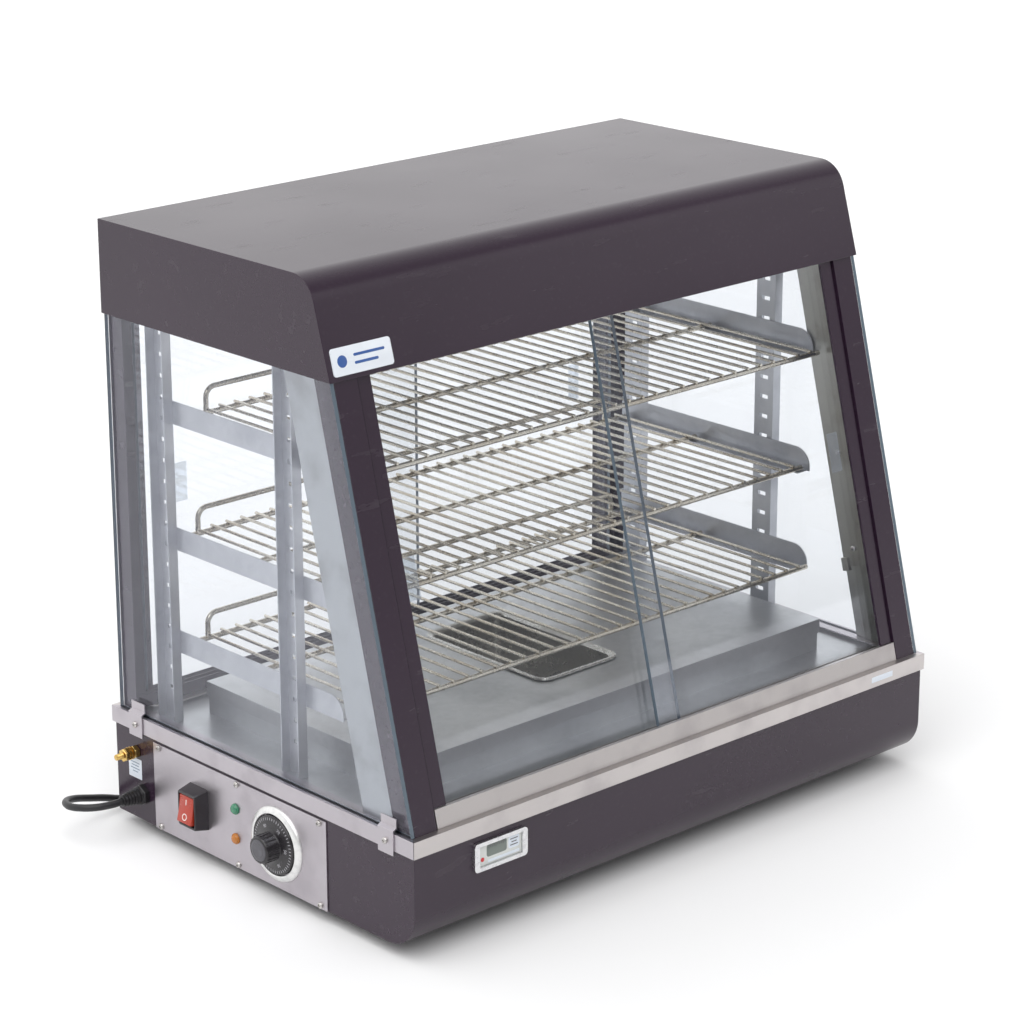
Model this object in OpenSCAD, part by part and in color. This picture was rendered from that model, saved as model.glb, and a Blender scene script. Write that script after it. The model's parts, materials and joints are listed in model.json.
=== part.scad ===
// Hot food display case: heated counter-top cabinet with wire shelves, sliding glass doors and a canopy.
// X runs to the right seen from the front, Y to the back and Z up.
// The origin is on the table, under the middle.

/* [Overall] */
// Width across the steel belt
case_w = 660; // [550:1:800]
// Depth across the steel belt
case_d = 430; // [410:1:520]
// Height from the table to the top of the canopy
case_h = 584; // [560:1:702]

/* [Base] */
// Height of the belt's top above the table
belt_top = 117; // [112:1:135]
// Height of the belt's outer face
belt_h = 16; // [12:1:20]
// Radius of the base's lower front edge
base_r = 35; // [15:1:45]
// Height of the rubber feet
foot_h = 12; // [8:1:18]

/* [Front] */
// Lean of the glass front from upright, in degrees
lean = 14.25; // [10:0.25:16]
// Width of each front post
post_w = 41; // [36:1:48]
// Width of each rear post
rear_post_w = 33; // [28:1:40]
// Thickness of the glass
glass_t = 4; // [3:0.5:5]
// Overlap of the two front doors
front_lap = 35; // [20:1:60]
// Overlap of the two rear doors
rear_lap = 80; // [20:1:100]

/* [Canopy] */
// Height of the canopy
canopy_h = 87; // [75:1:110]
// Radius of the canopy's top front edge
canopy_r = 30; // [15:1:36]

/* [Shelves] */
// Height of the bottom shelf's brackets above the table
bottom_bracket = 180; // [155:5:200]
// Rise from the bottom brackets to the middle ones
middle_rise = 100; // [60:5:120]
// Rise from the middle brackets to the top ones
top_rise = 120; // [60:5:130]
// Spacing of the shelf wires
wire_pitch = 17.5; // [12:0.5:25]
// Depth of a wire shelf from its front rod to its rear rod
shelf_d = 243; // [220:1:260]
// Spacing of the slots in the uprights
slot_pitch = 20; // [16:1:25]

/* [Water pan] */
// Width of the water pan over its rim
pan_w = 104; // [90:1:130]
// Length of the water pan over its rim, front to back
pan_l = 172; // [140:1:190]
// Depth of the water pan
pan_h = 60; // [40:1:65]

/* [Controls] */
// Length of the control panel along the side
panel_l = 250; // [208:1:260]
// Outside diameter of the thermostat's ring
dial_ring_d = 71; // [60:1:74]
// Travel of the rocker switch, in degrees
rocker_travel = 20; // [16:1:24]

/* [Hidden] */
skin = 1.2;                            // painted and plain sheet
fold = 1.5;                            // post and belt sheet
half_w = case_w / 2;
half_d = case_d / 2;
base_x = half_w - 2.5;                 // the base stands just inside the belt
base_y = half_d - 2.5;
belt_bot = belt_top - belt_h;
mitre = 0.3;                           // gap left at each end of a belt length
floor_z = belt_top - 4;                // top of the cabinet's floor
canopy_z = case_h - canopy_h;
canopy_x = half_w - 2;
canopy_back = half_d - 7;
liner_z = canopy_z + 33;               // underside of the canopy's liner
face_y = -half_d + 7;                  // foot of the leaning front, on the belt
canopy_face = face_y + (canopy_z - belt_top) * tan(lean) - 2.5;
canopy_lean = lean + 2;

glass_x = half_w - 3.7;                // outer face of the side glass
post_x = glass_x - glass_t - 0.5;      // outer face of the posts
post_in = post_x - post_w;             // inner edge of the front posts
rear_post_in = post_x - rear_post_w;   // inner edge of the rear posts
groove_x = post_in + 16;               // groove between a post's two strips
sill_h = 17.5;                         // height of the front sill along the lean
rail_gap = 1.25;                       // clearance of a sliding door on each side
rail_t = 1.2;
rail_pitch = glass_t + 2 * rail_gap + rail_t;
front_rail_y = 5.5;                    // first rib of the front tracks, behind the face
jamb_y = front_rail_y + 2 * rail_pitch + 1;
rear_y = half_d - 9;                   // outer face of the rear posts
rear_rail_y = rear_y - fold - 0.3 - rail_t - 2 * rail_pitch;
door_end = post_in + 19;               // how far a closed door reaches from the middle
door_foot = 9;                         // height of a front door's lower edge along the lean
door_top = liner_z - 8;
pull_w = 14;                           // clear grips bonded to the doors
pull_l = 38;
pull_t = 0.8;                          // thin enough to pass the other pane
pull_z = 322;                          // height of the grips' middles above the table

upright_x = half_w - 30;               // outer face of the uprights' slotted webs
jamb_in = upright_x + 0.3;             // a jamb's inner wall passes just outside the brackets
upright_w = 24.5;
upright_flange = 9;
slot_l = 10;                           // length of an upright's slot, across the upright
slot_h = 4;
front_upright_y = -half_d + 190;       // middles of the front and rear uprights
rear_upright_y = half_d - 58;
slot_z0 = belt_top + 26;

bracket_z = [bottom_bracket, bottom_bracket + middle_rise, bottom_bracket + middle_rise + top_rise];
bracket_h = 22;
bracket_ledge = 15;
bracket_x = upright_x - skin;          // a bracket's plate lies against the uprights' inner faces
bracket_front = -half_d + 127;
bracket_back = rear_upright_y + upright_w / 2 + 2;
rod_d = 5;
wire_d = 3;
weld = 0.4;                            // depth by which crossing wires are welded together
lift_gap = 0.3;                        // air under each loose part
rod_half = bracket_x - skin - 5;       // half the length of a shelf's cross rods
wire_count = 2 * floor((rod_half - 8) / wire_pitch) + 1;
guard_half = rod_half - 30;
guard_h = 24;
shelf_front = [-half_d + 123, -half_d + 133, -half_d + 115];

lid_x = upright_x - 29;                // the heater lid's raised platform
lid_front = -half_d + 84;
lid_back = half_d - 70;
lid_z = floor_z + 32;
lid_skirt = 14;
pan_x = 5;
pan_y = 12;
pan_flange = 6;

panel_y = 28;                          // middle of the control panel
panel_z0 = foot_h;
panel_h = belt_bot - 3.5 - panel_z0;
panel_z = panel_z0 + panel_h / 2;
panel_x = -base_x - skin;              // outer face of the control panel
switch_y = panel_y + 57;
signal_y = panel_y + 3;
signal_gap = 14.5;
dial_y = panel_y - 56.5;
shaft_d = 6;                           // the thermostat's shaft, which turns in the panel
knob_d = dial_ring_d - 15;
lamp_x = -30;                          // mouth of the cabinet lamp's holder, under the liner
lamp_y = 56;
bulb_d = 24;
bulb_l = 46;
grip_d = 27;
grip_out = 22;
rocker_pivot = 12;                     // distance of the rocker's axis from the panel
rocker_w = 20.4;                       // width of the rocker between its window's sides
rocker_h = 26.4;
window_w = rocker_w + 1.2;             // window in the switch housing
window_h = rocker_h + 2.8;
meter_x = -half_w + 99.5;              // middle of the thermometer on the front
meter_z = belt_bot - 20;
meter_w = 62;
meter_h = 27;
meter_window = [50, 19];
gland_y = half_d - 43;
gland_z = foot_h + 27;
bond_y = half_d - 35;
bond_z = belt_bot - 21;
foot_inset = 60;
screw_d = 6;
clip_w = 20;
clip_ys = [-half_d + 35, half_d - 39];
cord_d = 7;
gland_out = 26;                        // how far the gland stands out from the side
relief_z = 6;                          // thickness of the gland's nut
cord_exit = [-base_x - gland_out, gland_y, gland_z];

// Route of the cord from its gland to its coil, counted from the exit; its last points lie on the table.
table = cord_d / 2 - gland_z;
cord_route = [
  [0, 0, 0], [-10, 0, 0], [-24, 4, 0], [-34, 14, -1], [-38, 28, -3], [-34, 42, -5], [-24, 52, -8],
  [-10, 57, -12], [6, 59, -17], [23, 60, -22], [40, 61, -28], [57, 62, table + 3], [74, 63, table + 0.5],
  [92, 65, table], [114, 68, table], [137, 70, table], [160, 71, table + 0.5], [184, 71, table + 1]];
coil_r = 38.5;                         // middle radius of the coil's turns
coil_z0 = 1;                           // the coil rests on its tie
coil_at = [184, 71 + coil_r + cord_d / 2];
tail_route = [
  [184, 71, table + 8], [199, 71, table + 8], [213, 72, table + 8.5], [226, 74, table + 9],
  [240, 76, table + 9.5]];
plug_d = 26;

// ---------- shared helpers ----------

// A box given by its low and high corners.
module block(low, high) translate(low) cube(high - low);

// Places children on the leaning front: Z runs up the lean, Y straight into the case.
module on_front() translate([0, face_y, belt_top]) rotate([-lean, 0, 0]) children();

// Keeps what lies between two heights.
module between(z0, z1) intersection() {
  children();
  block([-case_w, -case_d, z0], [case_w, case_d, z1]);
}

// Mirrors children to the left side when side is -1.
module on_side(side) scale([side, 1, 1]) children();

// Extrudes a profile drawn in Y and Z across the case, between two X values.
module across(x0, x1) translate([x0, 0, 0]) rotate([90, 0, 90]) linear_extrude(x1 - x0) children();

// Turns a part drawn along Z so that it points out of the left side.
module out_left(x, y, z) translate([x, y, z]) rotate([0, -90, 0]) children();

// A box with rounded vertical edges, standing on z = 0, centred in X and Y.
module rounded_box(w, l, h, r) union() {
  block([-w / 2 + r, -l / 2, 0], [w / 2 - r, l / 2, h]);
  block([-w / 2, -l / 2 + r, 0], [w / 2, l / 2 - r, h]);
  for (sx = [-1, 1], sy = [-1, 1])
    translate([sx * (w / 2 - r), sy * (l / 2 - r), 0]) cylinder(r = r, h = h, $fn = 32);
}

// A low pan-head screw with a cross recess, drawn along Z.
module pan_screw(d = screw_d) difference() {
  union() {
    cylinder(d = d, h = 1.6, $fn = 24);
    translate([0, 0, 1.6]) cylinder(d1 = d, d2 = d - 2.4, h = 0.9, $fn = 24);
  }
  for (turn = [0, 90]) rotate(turn) block([-d / 4, -0.4, 1.4], [d / 4, 0.4, 3]);
}

// ---------- base ----------

// Side outline of the base with its rounded lower front edge, shrunk by an inset.
module base_outline(inset) {
  r = base_r - inset;
  z0 = foot_h + inset;
  z1 = belt_bot + (inset > 0 ? 1 : 0);
  front = -base_y + inset;
  polygon([[front, z1], [front, z0 + r], [front + r, z0], [base_y - inset, z0], [base_y - inset, z1]]);
  translate([front + r, z0 + r]) intersection() {
    circle(r, $fn = 64);
    translate([-r, -r]) square(r);
  }
}

module base_shell() color("dimgray") difference() {
  across(-base_x, base_x) base_outline(0);
  across(-base_x + skin, base_x - skin) base_outline(skin);
  block([-base_x + 50, -base_y + 60, foot_h - 1], [base_x - 50, base_y - 40, foot_h + 5]);
  block([-base_x - 1, panel_y - panel_l / 2 + 15, panel_z0 + 10],
        [-base_x + 5, panel_y + panel_l / 2 - 15, panel_z0 + panel_h - 10]);
  out_left(-base_x + 5, gland_y, gland_z) cylinder(d = 14.4, h = 10, $fn = 32);
  out_left(-base_x + 5, bond_y, bond_z) cylinder(d = 6.4, h = 10, $fn = 32);
  block([meter_x - 24, -base_y - 1, meter_z - 10], [meter_x + 24, -base_y + 5, meter_z + 10]);
}

// Galvanised plate that closes the base from below, with two rows of air slots.
module base_plate() color("silver") difference() {
  block([-base_x + 35, -base_y + 45, foot_h - skin], [base_x - 35, base_y - 25, foot_h]);
  for (i = [-4:4], y = [-40, 60]) block([i * 36 - 2.5, y - 20, 0], [i * 36 + 2.5, y + 20, foot_h + 1]);
}

module rubber_feet() color("black")
  for (sx = [-1, 1], sy = [-1, 1])
    translate([sx * (base_x - foot_inset), sy * (base_y - foot_inset), 0]) difference() {
      cylinder(d1 = 26, d2 = 30, h = foot_h - skin, $fn = 32);
      translate([0, 0, -1]) cylinder(d = 10, h = 5, $fn = 24);
    }

// ---------- belt and floor ----------

// One straight belt length: an outer band with a ledge turned inwards, mitred at both ends.
module belt_length(reach, half, ledge) intersection() {
  union() {
    block([-half, -reach, belt_bot], [half, -reach + fold, belt_top]);
    block([-half, -reach, belt_top - fold], [half, -reach + ledge, belt_top]);
  }
  linear_extrude(belt_top + 1) polygon([
    [-half, -reach], [half, -reach], [half - ledge, -reach + ledge], [-half + ledge, -reach + ledge]]);
}

module belt_front() color("silver") belt_length(half_d, half_w - mitre, 36);
module belt_rear() color("silver") rotate(180) belt_length(half_d, half_w - mitre, 36);
module belt_left() color("silver") rotate(-90) belt_length(half_w, half_d - mitre, 18);
module belt_right() color("silver") rotate(90) belt_length(half_w, half_d - mitre, 18);

// Cabinet floor, resting under the belt's ledges, with an upstand around the heater opening.
module floor_pan() color("silver") difference() {
  union() {
    block([-base_x + 2, -base_y + 2, floor_z - skin], [base_x - 2, base_y - 2, floor_z]);
    block([-lid_x + 1.5, lid_front + 1.5, floor_z], [lid_x - 1.5, lid_back - 1.5, lid_z - 4]);
  }
  block([-lid_x + 1.5 + skin, lid_front + 1.5 + skin, floor_z - 5],
        [lid_x - 1.5 - skin, lid_back - 1.5 - skin, lid_z]);
}

// Raised lid over the heater, with the cut-out that carries the water pan.
module heater_lid() color("silver") difference() {
  block([-lid_x, lid_front, lid_z - lid_skirt], [lid_x, lid_back, lid_z]);
  block([-lid_x + skin, lid_front + skin, lid_z - lid_skirt - 1],
        [lid_x - skin, lid_back - skin, lid_z - skin]);
  translate([pan_x, pan_y, lid_z - 5])
    rounded_box(pan_w - 2 * pan_flange + 2, pan_l - 2 * pan_flange + 2, 10, 11);
}

// Loose gastronorm-style pan hanging by its rim in the lid.
module water_pan() color("gainsboro") translate([pan_x, pan_y, lid_z + lift_gap]) difference() {
  union() {
    rounded_box(pan_w, pan_l, 2.6, 14);
    translate([0, 0, 0.5 - pan_h]) rounded_box(pan_w - 2 * pan_flange, pan_l - 2 * pan_flange, pan_h, 10);
  }
  translate([0, 0, 1.5 - pan_h])
    rounded_box(pan_w - 2 * pan_flange - 2, pan_l - 2 * pan_flange - 2, pan_h + 5, 9);
}

// ---------- posts, jambs and tracks ----------

// Folded front post: an outer strip, a groove, and an inner strip that ends at the sill.
module front_post(side) color("dimgray") on_side(side) between(belt_top, liner_z) on_front() difference() {
  depth = 26;
  step = 2.4;
  lip = front_rail_y - 0.3;
  translate([0, 0, -60]) linear_extrude(case_h) polygon([
    [post_x, depth], [post_x, 0], [groove_x, 0], [groove_x, lip - fold], [groove_x - 2, lip - fold],
    [groove_x - 2, step], [post_in, step], [post_in, lip], [post_in + fold, lip],
    [post_in + fold, step + fold], [groove_x - 2 - fold, step + fold],
    [groove_x - 2 - fold, lip], [groove_x + fold, lip],
    [groove_x + fold, fold], [post_x - fold, fold], [post_x - fold, depth]]);
  block([post_in - 1, -1, -61], [groove_x + 0.3, 60, sill_h + 0.3]);
}

module front_post_left() front_post(-1);
module front_post_right() front_post(1);

module rear_post(side) color("dimgray") on_side(side) translate([0, 0, belt_top])
  linear_extrude(liner_z - belt_top) polygon([
    [post_x, rear_y], [rear_post_in, rear_y], [rear_post_in, rear_y - fold],
    [post_x - fold, rear_y - fold],
    [post_x - fold, rear_y - 20], [post_x, rear_y - 20]]);

module rear_post_left() rear_post(-1);
module rear_post_right() rear_post(1);

// Stainless channel behind a front post; its inner wall stops short of the sill at a small end block.
module jamb(side) color("silver") on_side(side) between(belt_top, liner_z) on_front() {
  outer = post_x - fold - 0.5;
  outer_depth = 46;
  inner_depth = 30;
  inner_foot = 92;
  translate([0, 0, -60]) linear_extrude(case_h) polygon([
    [outer, jamb_y + outer_depth], [outer, jamb_y], [jamb_in, jamb_y], [jamb_in, jamb_y + skin],
    [outer - skin, jamb_y + skin], [outer - skin, jamb_y + outer_depth]]);
  block([jamb_in, jamb_y, inner_foot], [jamb_in + skin, jamb_y + inner_depth, case_h]);
  block([jamb_in - 3.5, jamb_y + inner_depth - 8, inner_foot - 4],
        [jamb_in + skin, jamb_y + inner_depth, inner_foot + 9]);
}

module jamb_left() jamb(-1);
module jamb_right() jamb(1);

// Front sill with the two channels that carry the front doors.
module sill_rail() color("silver") between(belt_top, liner_z) on_front() {
  span = groove_x - 0.5;
  block([-span, 0, -8], [span, skin, sill_h]);
  block([-span, 0, sill_h - skin], [span, front_rail_y + rail_t, sill_h]);
  for (i = [0:2]) block([-span, front_rail_y + i * rail_pitch, -8],
                        [span, front_rail_y + i * rail_pitch + rail_t, sill_h - (i == 0 ? 0 : 3)]);
  block([-span, 0, -8], [span, front_rail_y + 2 * rail_pitch + rail_t, door_foot - 2]);
}

// Rear bottom track with its two channels.
module rear_track() color("dimgray") {
  span = post_x - fold - 2;
  for (i = [0:2]) block([-span, rear_rail_y + i * rail_pitch, belt_top],
                        [span, rear_rail_y + i * rail_pitch + rail_t, belt_top + 12]);
  block([-span, rear_rail_y, belt_top], [span, rear_rail_y + 2 * rail_pitch + rail_t, belt_top + 1.5]);
}

// ---------- uprights, brackets and shelves ----------

// Slotted channel that the shelf brackets hook into.
module upright(side, mid_y) color("silver") on_side(side) difference() {
  block([upright_x - skin, mid_y - upright_w / 2, floor_z],
        [upright_x + upright_flange, mid_y + upright_w / 2, liner_z]);
  block([upright_x, mid_y - upright_w / 2 + skin, floor_z - 1],
        [upright_x + upright_flange + 1, mid_y + upright_w / 2 - skin, liner_z + 1]);
  for (z = [slot_z0 : slot_pitch : liner_z - 12])
    block([upright_x - 3, mid_y - slot_l / 2, z - slot_h / 2],
          [upright_x + 1, mid_y + slot_l / 2, z + slot_h / 2]);
}

module upright_front_left() upright(-1, front_upright_y);
module upright_front_right() upright(1, front_upright_y);
module upright_rear_left() upright(-1, rear_upright_y);
module upright_rear_right() upright(1, rear_upright_y);

// Angle bracket with a rounded nose; the shelf lies on its lower ledge.
module bracket(side, level) color("silver") on_side(side) translate([0, 0, bracket_z[level]]) {
  nose = 18;
  across(bracket_x - skin, bracket_x) {
    polygon([[bracket_front, 0], [bracket_back, 0], [bracket_back, bracket_h],
             [bracket_front + nose, bracket_h], [bracket_front + nose, bracket_h - nose],
             [bracket_front, bracket_h - nose]]);
    translate([bracket_front + nose, bracket_h - nose]) intersection() {
      circle(nose, $fn = 48);
      translate([-nose, 0]) square(nose);
    }
  }
  block([bracket_x - bracket_ledge, bracket_front + 3, 0], [bracket_x, bracket_back, skin]);
}

module bracket_bottom_left() bracket(-1, 0);
module bracket_bottom_right() bracket(1, 0);
module bracket_middle_left() bracket(-1, 1);
module bracket_middle_right() bracket(1, 1);
module bracket_top_left() bracket(-1, 2);
module bracket_top_right() bracket(1, 2);

// Low wire fence that stands on a shelf's rear rod.
module shelf_guard() {
  bend = 10;
  rise = guard_h - bend;
  for (sx = [-1, 1]) {
    translate([sx * guard_half, 0, 0]) cylinder(d = rod_d, h = rise, $fn = 16);
    translate([sx * (guard_half - bend), 0, rise]) rotate([90, 0, 0])
      rotate(sx > 0 ? 0 : 90) rotate_extrude(angle = 90, $fn = 48)
        translate([bend, 0]) circle(d = rod_d, $fn = 16);
  }
  translate([-guard_half + bend, 0, guard_h]) rotate([0, 90, 0])
    cylinder(d = rod_d, h = 2 * (guard_half - bend), $fn = 16);
}

// Welded wire shelf: three cross rods, a row of wires over them and the rear guard.
module shelf(level) color("gainsboro")
  translate([0, shelf_front[level], bracket_z[level] + skin + lift_gap + rod_d / 2]) union() {
    for (y = [0, shelf_d - 100, shelf_d]) translate([-rod_half, y, 0]) rotate([0, 90, 0])
      cylinder(d = rod_d, h = 2 * rod_half, $fn = 8);
    for (i = [-(wire_count - 1) / 2 : (wire_count - 1) / 2])
      translate([i * wire_pitch, -2, (rod_d + wire_d) / 2 - weld]) rotate([-90, 0, 0])
        cylinder(d = wire_d, h = shelf_d + 5, $fn = 6);
    translate([0, shelf_d, 0]) shelf_guard();
  }

module shelf_bottom() shelf(0);
module shelf_middle() shelf(1);
module shelf_top() shelf(2);

// ---------- canopy ----------

// Side outline of the canopy with its rounded top front edge, shrunk by an inset.
module canopy_outline(inset) {
  r = canopy_r - inset;
  top = case_h - inset;
  back = canopy_back - inset;
  foot = canopy_z - (inset > 0 ? 1 : 0);
  front = canopy_face + inset / cos(canopy_lean) + (foot - canopy_z) * tan(canopy_lean);
  centre_z = top - r;
  centre_y = front + (centre_z - foot) * tan(canopy_lean) + r / cos(canopy_lean);
  touch = [centre_y - r * cos(canopy_lean), centre_z + r * sin(canopy_lean)];
  polygon([[back, foot], [back, top], [centre_y, top], [centre_y, centre_z], touch, [front, foot]]);
  translate([centre_y, centre_z]) intersection() {
    circle(r, $fn = 96);
    polygon([[0, 0], [0, 2 * r], [-2 * r * cos(canopy_lean), 2 * r],
             [-2 * r * cos(canopy_lean), 2 * r * sin(canopy_lean)]]);
  }
}

module canopy_shell() color("dimgray") difference() {
  across(-canopy_x, canopy_x) canopy_outline(0);
  across(-canopy_x + skin, canopy_x - skin) canopy_outline(skin);
}

// Sheet inside the canopy that closes the cabinet and holds the upper ribs of all four door tracks.
module canopy_liner() color("silver") {
  front = canopy_face + (liner_z - canopy_z) * tan(canopy_lean) + 4;
  span = groove_x - 0.5;
  block([-canopy_x + skin + 0.3, front, liner_z],
        [canopy_x - skin - 0.3, canopy_back - skin - 0.3, liner_z + skin]);
  between(canopy_z + 3, liner_z + 0.1) on_front() for (i = [0:2])
    block([-span, front_rail_y + i * rail_pitch, 300],
          [span, front_rail_y + i * rail_pitch + rail_t, case_h]);
  for (i = [0:2]) block([-span, rear_rail_y + i * rail_pitch, canopy_z + 3],
                        [span, rear_rail_y + i * rail_pitch + rail_t, liner_z + 0.1]);
}

// Places children at the mouth of the cabinet lamp's holder, with their Z along the case.
module at_lamp() translate([lamp_x, lamp_y, liner_z - 14]) rotate([0, 90, 0]) children();

// Ceramic holder with its foot on the liner.
module lamp_holder() color("white") difference() {
  union() {
    block([lamp_x - 26, lamp_y - 16, liner_z - 4], [lamp_x, lamp_y + 16, liner_z]);
    at_lamp() translate([0, 0, -26]) cylinder(d = bulb_d, h = 26, $fn = 32);
  }
  at_lamp() translate([0, 0, -22]) cylinder(d = 16, h = 30, $fn = 32);
}

// Tubular bulb: a cap inside the holder and a round-ended glass.
module lamp_bulb() color("ivory") at_lamp() {
  translate([0, 0, -21]) cylinder(d = 14, h = 24, $fn = 32);
  translate([0, 0, 3]) cylinder(d = bulb_d, h = bulb_l, $fn = 32);
  translate([0, 0, 3 + bulb_l]) scale([1, 1, 0.5]) sphere(d = bulb_d, $fn = 32);
}

// ---------- glass ----------

// Fixed side pane: its front edge follows the leaning post.
module side_glass(side) color("lightcyan", 0.4) on_side(side) across(glass_x - glass_t, glass_x) {
  rise = liner_z - 6 - belt_top;
  polygon([[face_y, belt_top], [rear_y, belt_top], [rear_y, belt_top + rise],
           [face_y + rise * tan(lean), belt_top + rise]]);
}

module side_glass_left() side_glass(-1);
module side_glass_right() side_glass(1);

// Bent clips that hold the side panes against the belt.
module glass_clips() color("silver")
  for (side = [-1, 1], y = clip_ys) on_side(side)
    translate([0, y + clip_w / 2, 0]) rotate([90, 0, 0]) linear_extrude(clip_w) polygon([
      [half_w, belt_bot - 4], [half_w + fold, belt_bot - 4], [half_w + fold, belt_top + 3],
      [glass_x + fold, belt_top + 5], [glass_x + fold, belt_top + 13], [glass_x, belt_top + 13],
      [glass_x, belt_top + 3.5], [half_w, belt_top + 1.5]]);

// Pan-head screws of the control panel, the glass clips and the right jamb.
module small_screws() color("silver") {
  for (sy = [-1, 0, 1], sz = [-1, 1])
    out_left(panel_x, panel_y + sy * (panel_l / 2 - 9), panel_z + sz * (panel_h / 2 - 3.5)) pan_screw();
  for (side = [-1, 1], y = clip_ys) on_side(side)
    translate([half_w + fold, y, belt_top - belt_h / 2]) rotate([0, 90, 0]) pan_screw();
  on_front() for (up = [110, 205])
    translate([jamb_in, jamb_y + 14, up]) rotate([0, -90, 0]) pan_screw(5);
}

// Outer face of a front door, behind the lean; the right one runs in the outer channel.
function front_pane_y(side) = front_rail_y + rail_t + rail_gap + (side > 0 ? 0 : rail_pitch);

module front_door(side) color("lightcyan", 0.4) between(belt_top, door_top) on_front() on_side(side)
  block([-front_lap / 2, front_pane_y(side), door_foot], [door_end, front_pane_y(side) + glass_t, case_h]);

module front_door_left() front_door(-1);
module front_door_right() front_door(1);

function rear_pane_y(side) = rear_rail_y + rail_t + rail_gap + (side > 0 ? 0 : rail_pitch);

module rear_door(side) color("lightcyan", 0.4) on_side(side)
  block([-rear_lap / 2, rear_pane_y(side), belt_top + 3], [door_end, rear_pane_y(side) + glass_t, door_top]);

module rear_door_left() rear_door(-1);
module rear_door_right() rear_door(1);

// A thin grip, bonded near a door's outer edge.
module pull() color("white") rotate([-90, 0, 0]) linear_extrude(pull_t) square([pull_w, pull_l], center = true);

module front_pull(side) on_front() on_side(side)
  translate([door_end - 35, front_pane_y(side) - pull_t, (pull_z - belt_top) / cos(lean)]) pull();

module front_pull_left() front_pull(-1);
module front_pull_right() front_pull(1);

module rear_pull(side) on_side(side)
  translate([door_end - 50, rear_pane_y(side) + glass_t, pull_z]) pull();

module rear_pull_left() rear_pull(-1);
module rear_pull_right() rear_pull(1);

// ---------- controls ----------

module control_panel() color("silver") difference() {
  block([panel_x, panel_y - panel_l / 2, panel_z0], [-base_x, panel_y + panel_l / 2, panel_z0 + panel_h]);
  block([panel_x - 1, switch_y - 11.2, panel_z - 15.2], [-base_x + 1, switch_y + 11.2, panel_z + 15.2]);
  for (s = [-1, 1])
    out_left(-base_x + 1, signal_y, panel_z + s * signal_gap) cylinder(d = 8.4, h = 4, $fn = 32);
  out_left(-base_x + 1, dial_y, panel_z) cylinder(d = shaft_d + 0.2, h = 4, $fn = 32);
}

// Tapered switch housing with a window for the rocker and its contact block behind the panel.
module switch_body() color("black") difference() {
  union() {
    intersection() {
      translate([0, switch_y + 20, panel_z]) rotate([90, 0, 0]) linear_extrude(40)
        polygon([[panel_x, -20], [panel_x, 20], [panel_x - 15, 17], [panel_x - 15, -17]]);
      translate([0, switch_y, panel_z - 30]) linear_extrude(60)
        polygon([[panel_x, -14], [panel_x, 14], [panel_x - 15, 12.4], [panel_x - 15, -12.4]]);
    }
    block([panel_x, switch_y - 11, panel_z - 15], [-base_x + 22, switch_y + 11, panel_z + 15]);
  }
  block([panel_x - 20, switch_y - window_w / 2, panel_z - window_h / 2],
        [panel_x - 5, switch_y + window_w / 2, panel_z + window_h / 2]);
}

// Rocker on its pivot pin, which runs front to back; at rest its upper end is pressed in.
module switch_rocker() color("red")
  translate([panel_x - rocker_pivot, switch_y, panel_z]) rotate([0, rocker_travel / 2, 0]) {
    rotate([90, 0, 0]) cylinder(d = 4, h = rocker_w + 0.6, center = true, $fn = 32);
    rotate([90, 0, 0]) linear_extrude(rocker_w, center = true)
      polygon([[5, -4], [5, 4], [1, rocker_h / 2], [-4.8, rocker_h / 2], [-4, 0],
               [-4.8, -rocker_h / 2], [1, -rocker_h / 2]]);
  }

// Neon lamp: a barrel through the panel and a low domed lens.
module signal_lamp(z) out_left(panel_x, signal_y, z) {
  translate([0, 0, -16]) cylinder(d = 8.2, h = 16, $fn = 32);
  cylinder(d = 10.5, h = 2.4, $fn = 48);
  translate([0, 0, 2.4]) cylinder(d1 = 10.5, d2 = 7, h = 1.4, $fn = 48);
}

module lamp_green() color("green") signal_lamp(panel_z + signal_gap);
module lamp_amber() color("orange") signal_lamp(panel_z - signal_gap);

module thermostat_ring() color("silver") out_left(panel_x, dial_y, panel_z) rotate_extrude($fn = 96)
  polygon([[knob_d / 2 + 0.8, 0], [dial_ring_d / 2, 0], [dial_ring_d / 2 - 1.5, 3],
           [knob_d / 2 + 3, 4.5], [knob_d / 2 + 0.8, 3]]);

// Turning knob on its shaft, which passes through the panel: a skirt, a gripping barrel and a flat cap.
module thermostat_knob() color("black") out_left(panel_x, dial_y, panel_z) {
  translate([0, 0, -7]) cylinder(d = shaft_d, h = 8.5, $fn = 32);
  translate([0, 0, 1]) cylinder(d = knob_d, h = 3, $fn = 96);
  translate([0, 0, 4]) cylinder(d1 = knob_d, d2 = knob_d - 8, h = 2.5, $fn = 96);
  translate([0, 0, 6.5]) cylinder(d = grip_d, h = grip_out - 6.5, $fn = 48);
}

// Panel thermometer: a bezel on the front skin, its case behind and a recessed window.
module thermometer() color("gainsboro") translate([meter_x, -base_y, meter_z]) difference() {
  union() {
    rotate([90, 0, 0]) rounded_box(meter_w, meter_h, 4, 4);
    block([-23, 0, -9], [23, 14, 9]);
  }
  block([-meter_window.x / 2, -5, -meter_window.y / 2], [meter_window.x / 2, -1.5, meter_window.y / 2]);
}

// ---------- bonding terminal and power cord ----------

// Brass bonding stud with two hexagon nuts on it.
module bonding_terminal() color("gold") out_left(-base_x, bond_y, bond_z) {
  translate([0, 0, -8]) cylinder(d = 6, h = 33, $fn = 32);
  for (z = [0.3, 11]) translate([0, 0, z]) difference() {
    cylinder(d = 13, h = 6, $fn = 6);
    translate([0, 0, -1]) cylinder(d = 6.3, h = 8, $fn = 32);
  }
}

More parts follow.
